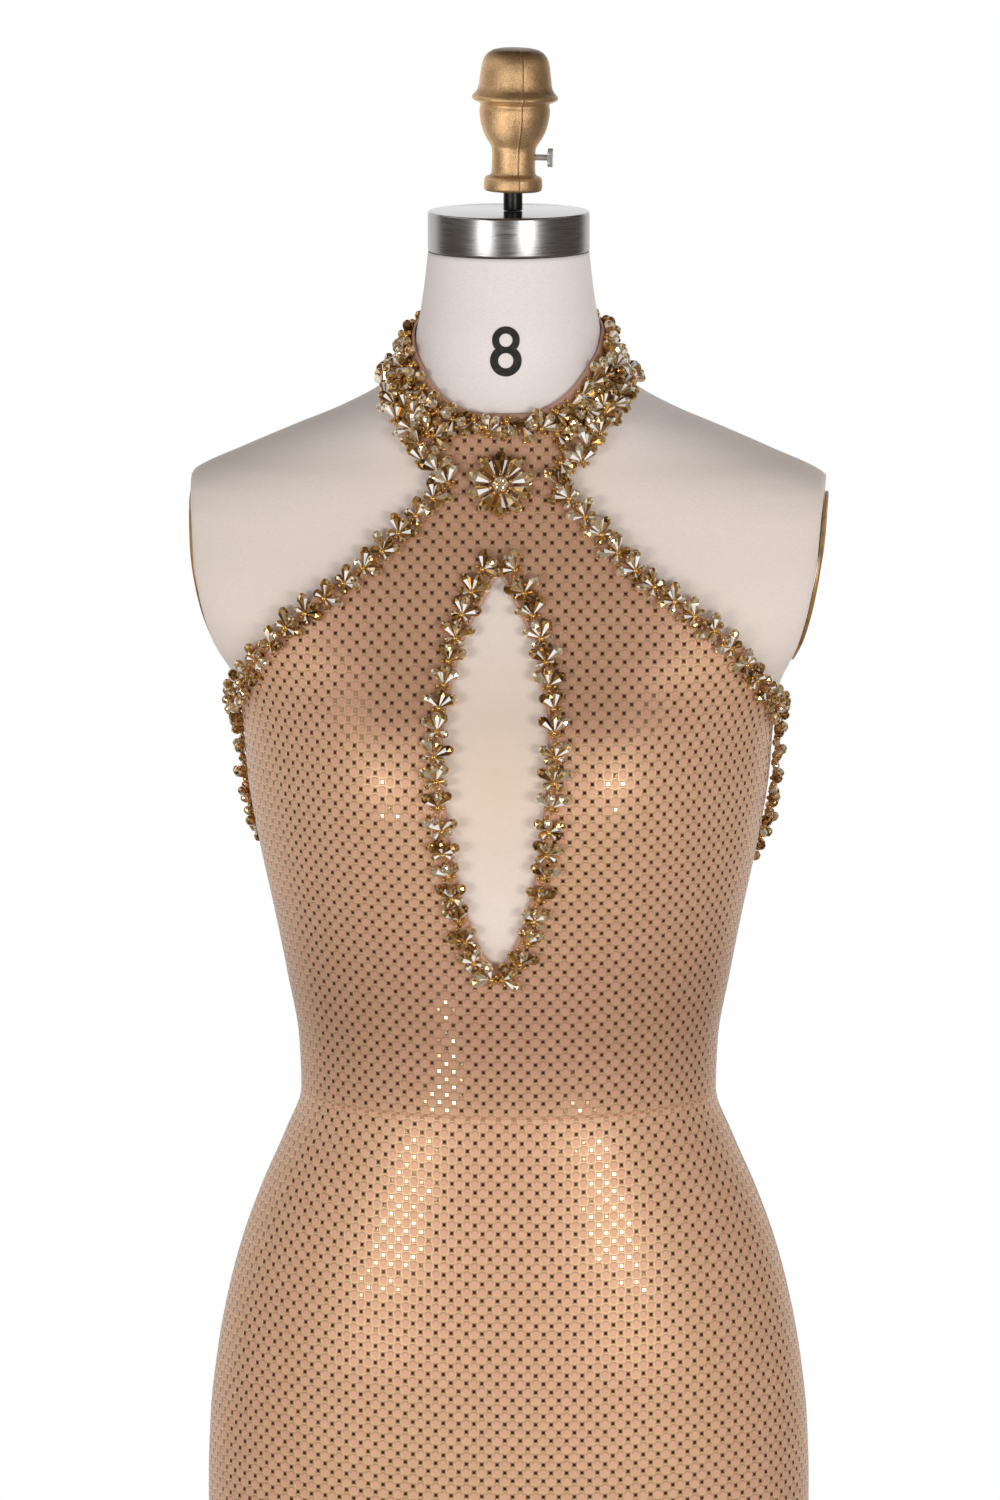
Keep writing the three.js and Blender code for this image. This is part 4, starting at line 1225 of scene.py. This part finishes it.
def finial_screw():
    """Thumb screw with a milled head."""
    shaft, head, ridges = 1.8, 5.5, 24
    profile = [(0, 4), (shaft, 4), (shaft, 19.4), (head, 20), (head, 23), (0, 23)]
    screw = turned("thumb_screw", softened(profile, 0.4, 3), NICKEL, 96)
    spots = spots_of(screw)
    x, y, _ = spots.T
    milled = (np.hypot(x, y) > head - 0.6) & (np.cos(ridges * np.arctan2(y, x)) < 0)
    spots[:, :2] *= np.where(milled, 0.95, 1)[:, None]
    screw.data.vertices.foreach_set("co", (spots * MM).astype(np.float32).ravel())
    lay_across(screw)
    sharpen(screw)
    stand_finial(screw)
    ride(screw, "nickel", "finial_screw")


neck_cap()
neck_rod()
finial()
finial_screw()


def numeral():
    """The size number on the neck, an eight of two rings that meet at a waist."""
    middle_x, middle_z, above = 1.6, 1556.0, 0.35
    upper = {"z": 6.5, "outer": 8.0, "hole": 3.85}
    lower = {"z": -5.35, "outer": 9.15, "hole": 4.4}
    gap = upper["z"] - lower["z"]
    waist = lower["z"] + (gap**2 + lower["outer"] ** 2 - upper["outer"] ** 2) / (2 * gap)
    points, faces = [], []
    turn = circle(72)
    shares = np.linspace(0, 1, 4)
    for ring, sign in ((upper, -1), (lower, 1)):
        towards = np.sin(turn) * sign
        limit = abs(waist - ring["z"]) / np.maximum(towards, 1e-6)
        reach = np.where(towards > 0, np.minimum(ring["outer"], limit), ring["outer"])
        start = sum(len(p) for p in points)
        for share in shares:
            radius = ring["hole"] + (reach - ring["hole"]) * share
            points.append(np.stack([radius * np.cos(turn), ring["z"] + radius * np.sin(turn)], -1))
        faces.append(grid_faces(len(shares), len(turn), start, wrap=True)[:, ::-1])
    flat = np.concatenate(points)
    z = middle_z + flat[:, 1]
    angle = angle_at_x(middle_x + flat[:, 0], z)
    spots = form_point(angle, z) + directions(form_point, angle, z)[2] * above
    ride(mesh_object("size_numeral", spots, np.concatenate(faces), INK), "black_metal")


numeral()

for node in ("stand_base", "stand_hub", "stand_pole", "pole_flange", "collar_bar", "collar_hook"):
    small = node.startswith("collar")
    carried = frame["nodes"][node]
    carried.data.materials.clear()
    carried.data.materials.append(NICKEL if small else BLACK)
    edge = carried.modifiers.new("edge", "BEVEL")
    edge.width = (0.2 if small else 0.8) * MM
    edge.segments = 2
    edge.limit_method = "ANGLE"


# Studio
def stand_off(thing, target, azimuth, elevation, distance, roll=0):
    """Puts a thing at a distance from the target, turned towards it."""
    a, e = math.radians(azimuth), math.radians(elevation)
    back = Vector((math.sin(a) * math.cos(e), -math.cos(a) * math.cos(e), math.sin(e)))
    thing.location = Vector(target) + back * distance
    thing.rotation_mode = "QUATERNION"
    rolled = Quaternion((0, 0, 1), math.radians(roll))
    thing.rotation_quaternion = (-back).to_track_quat("-Z", "Y") @ rolled


def camera():
    data = bpy.data.cameras.new("camera")
    data.lens = 202.8
    data.sensor_width = 36
    data.clip_end = 100
    thing = add_object("camera", data)
    stand_off(thing, (-0.0052, 0.0017, 1.3124), azimuth=3.5, elevation=9.3, distance=5.0)
    bpy.context.scene.camera = thing


def softbox(name, azimuth, elevation, distance, width, height, radiance, height_from=1.1, roll=0):
    """A rectangular light at an azimuth from the front, turned towards the form."""
    data = bpy.data.lights.new(name, "AREA")
    data.shape = "RECTANGLE"
    data.size, data.size_y = width, height
    data.energy = radiance * math.pi * width * height
    thing = add_object(name, data)
    stand_off(thing, (0, 0, height_from), azimuth, elevation, distance, roll)
    thing.visible_camera = False
    return thing


def light_only(name, parts, *boxes):
    """Lets the boxes light the named parts alone."""
    group = bpy.data.collections.new(name)
    for part in parts:
        group.objects.link(bpy.data.objects[part])
    for box in boxes:
        box.light_linking.receiver_collection = group


def world():
    """White to the eye. Gloss meets a dark room with a white wall behind and a pale window on
    each side, and matt surfaces get an even light that is weaker from above."""
    studio = bpy.data.worlds.new("studio")
    studio.use_nodes = True
    bpy.context.scene.world = studio
    n = Nodes(studio.node_tree)
    studio.node_tree.nodes.clear()
    path = n.new("LightPath")
    split = n.new("SeparateXYZ", n.new("TexCoord").outputs["Generated"])
    left, ahead, up = (split.outputs[axis] for axis in "XYZ")
    white = (1.0, 1.0, 1.0, 1.0)
    behind = n.math("SUBTRACT", ahead, n.times(left, 0.2))
    wall = n.times(n.span(behind, 0.5, 0.74), n.span(up, 0.35, 0.6, 1.0, 0.0))
    window = n.times(n.span(n.math("ABSOLUTE", left), 0.5, 0.62),
                     n.span(ahead, 0.35, 0.5, 1.0, 0.0),
                     n.times(n.span(up, 0.28, 0.4), n.span(up, 0.7, 0.8, 1.0, 0.0)),
                     n.span(left, -0.5, 0.5, 1.8, 0.4))
    gloss = n.math("MINIMUM", n.math("MAXIMUM", wall, window), 1.0)
    matt = n.times(n.span(up, -0.1, 0.9, 0.5, 0.16), n.span(ahead, -0.7, 0.4, 1.0, 1.6),
                   n.span(left, -1.0, 1.0, 0.96, 1.12))
    room = n.mix(gloss, (0.12, 0.10, 0.085, 1.0), white)
    seen = n.mix(path.outputs["Is Glossy Ray"], matt, room)
    back = n.new("Background", n.mix(path.outputs["Is Camera Ray"], seen, white))
    n.new("OutputWorld", back.outputs[0])


def floor(radius=2600, sides=128):
    material, n = new_material("floor")
    n.surface(n.mix(n.span(n.noise(3.0), 0.3, 0.7), rgb(238, 238, 237), rgb(234, 234, 233)), 0.8)
    turn = circle(sides)
    points = np.stack([radius * np.cos(turn), radius * np.sin(turn), 0 * turn], -1)
    thing = mesh_object("floor", points, np.arange(sides)[None], material, smooth=False)
    thing.visible_glossy = False


camera()
world()
floor()
softbox("softbox_left", -30.6, 5.0, 3.2, 1.0, 0.62, 11.2)
softbox("softbox_right", 29.2, 6.3, 3.2, 1.06, 0.54, 14)
light_only("above_waist", ("bodice_front", "bodice_front_squares"),
           softbox("softbox_low_left", -26.6, -18.8, 2.0, 0.34, 0.54, 11, 1.13, 44),
           softbox("softbox_low_right", 30, -14.8, 2.0, 0.40, 0.22, 12, 1.11))
light_only("finial_only", ("finial_casting",),
           softbox("finial_glow", -46, -32, 1.6, 0.9, 0.7, 2.8, 1.69))
for fill in (softbox("front_fill", 4, -14.5, 3.0, 2.4, 0.7, 2.1),
             softbox("back_fill", 172, 24, 3.2, 1.3, 0.8, 3.4)):
    fill.visible_glossy = False
bpy.context.scene.view_settings.view_transform = "Standard"
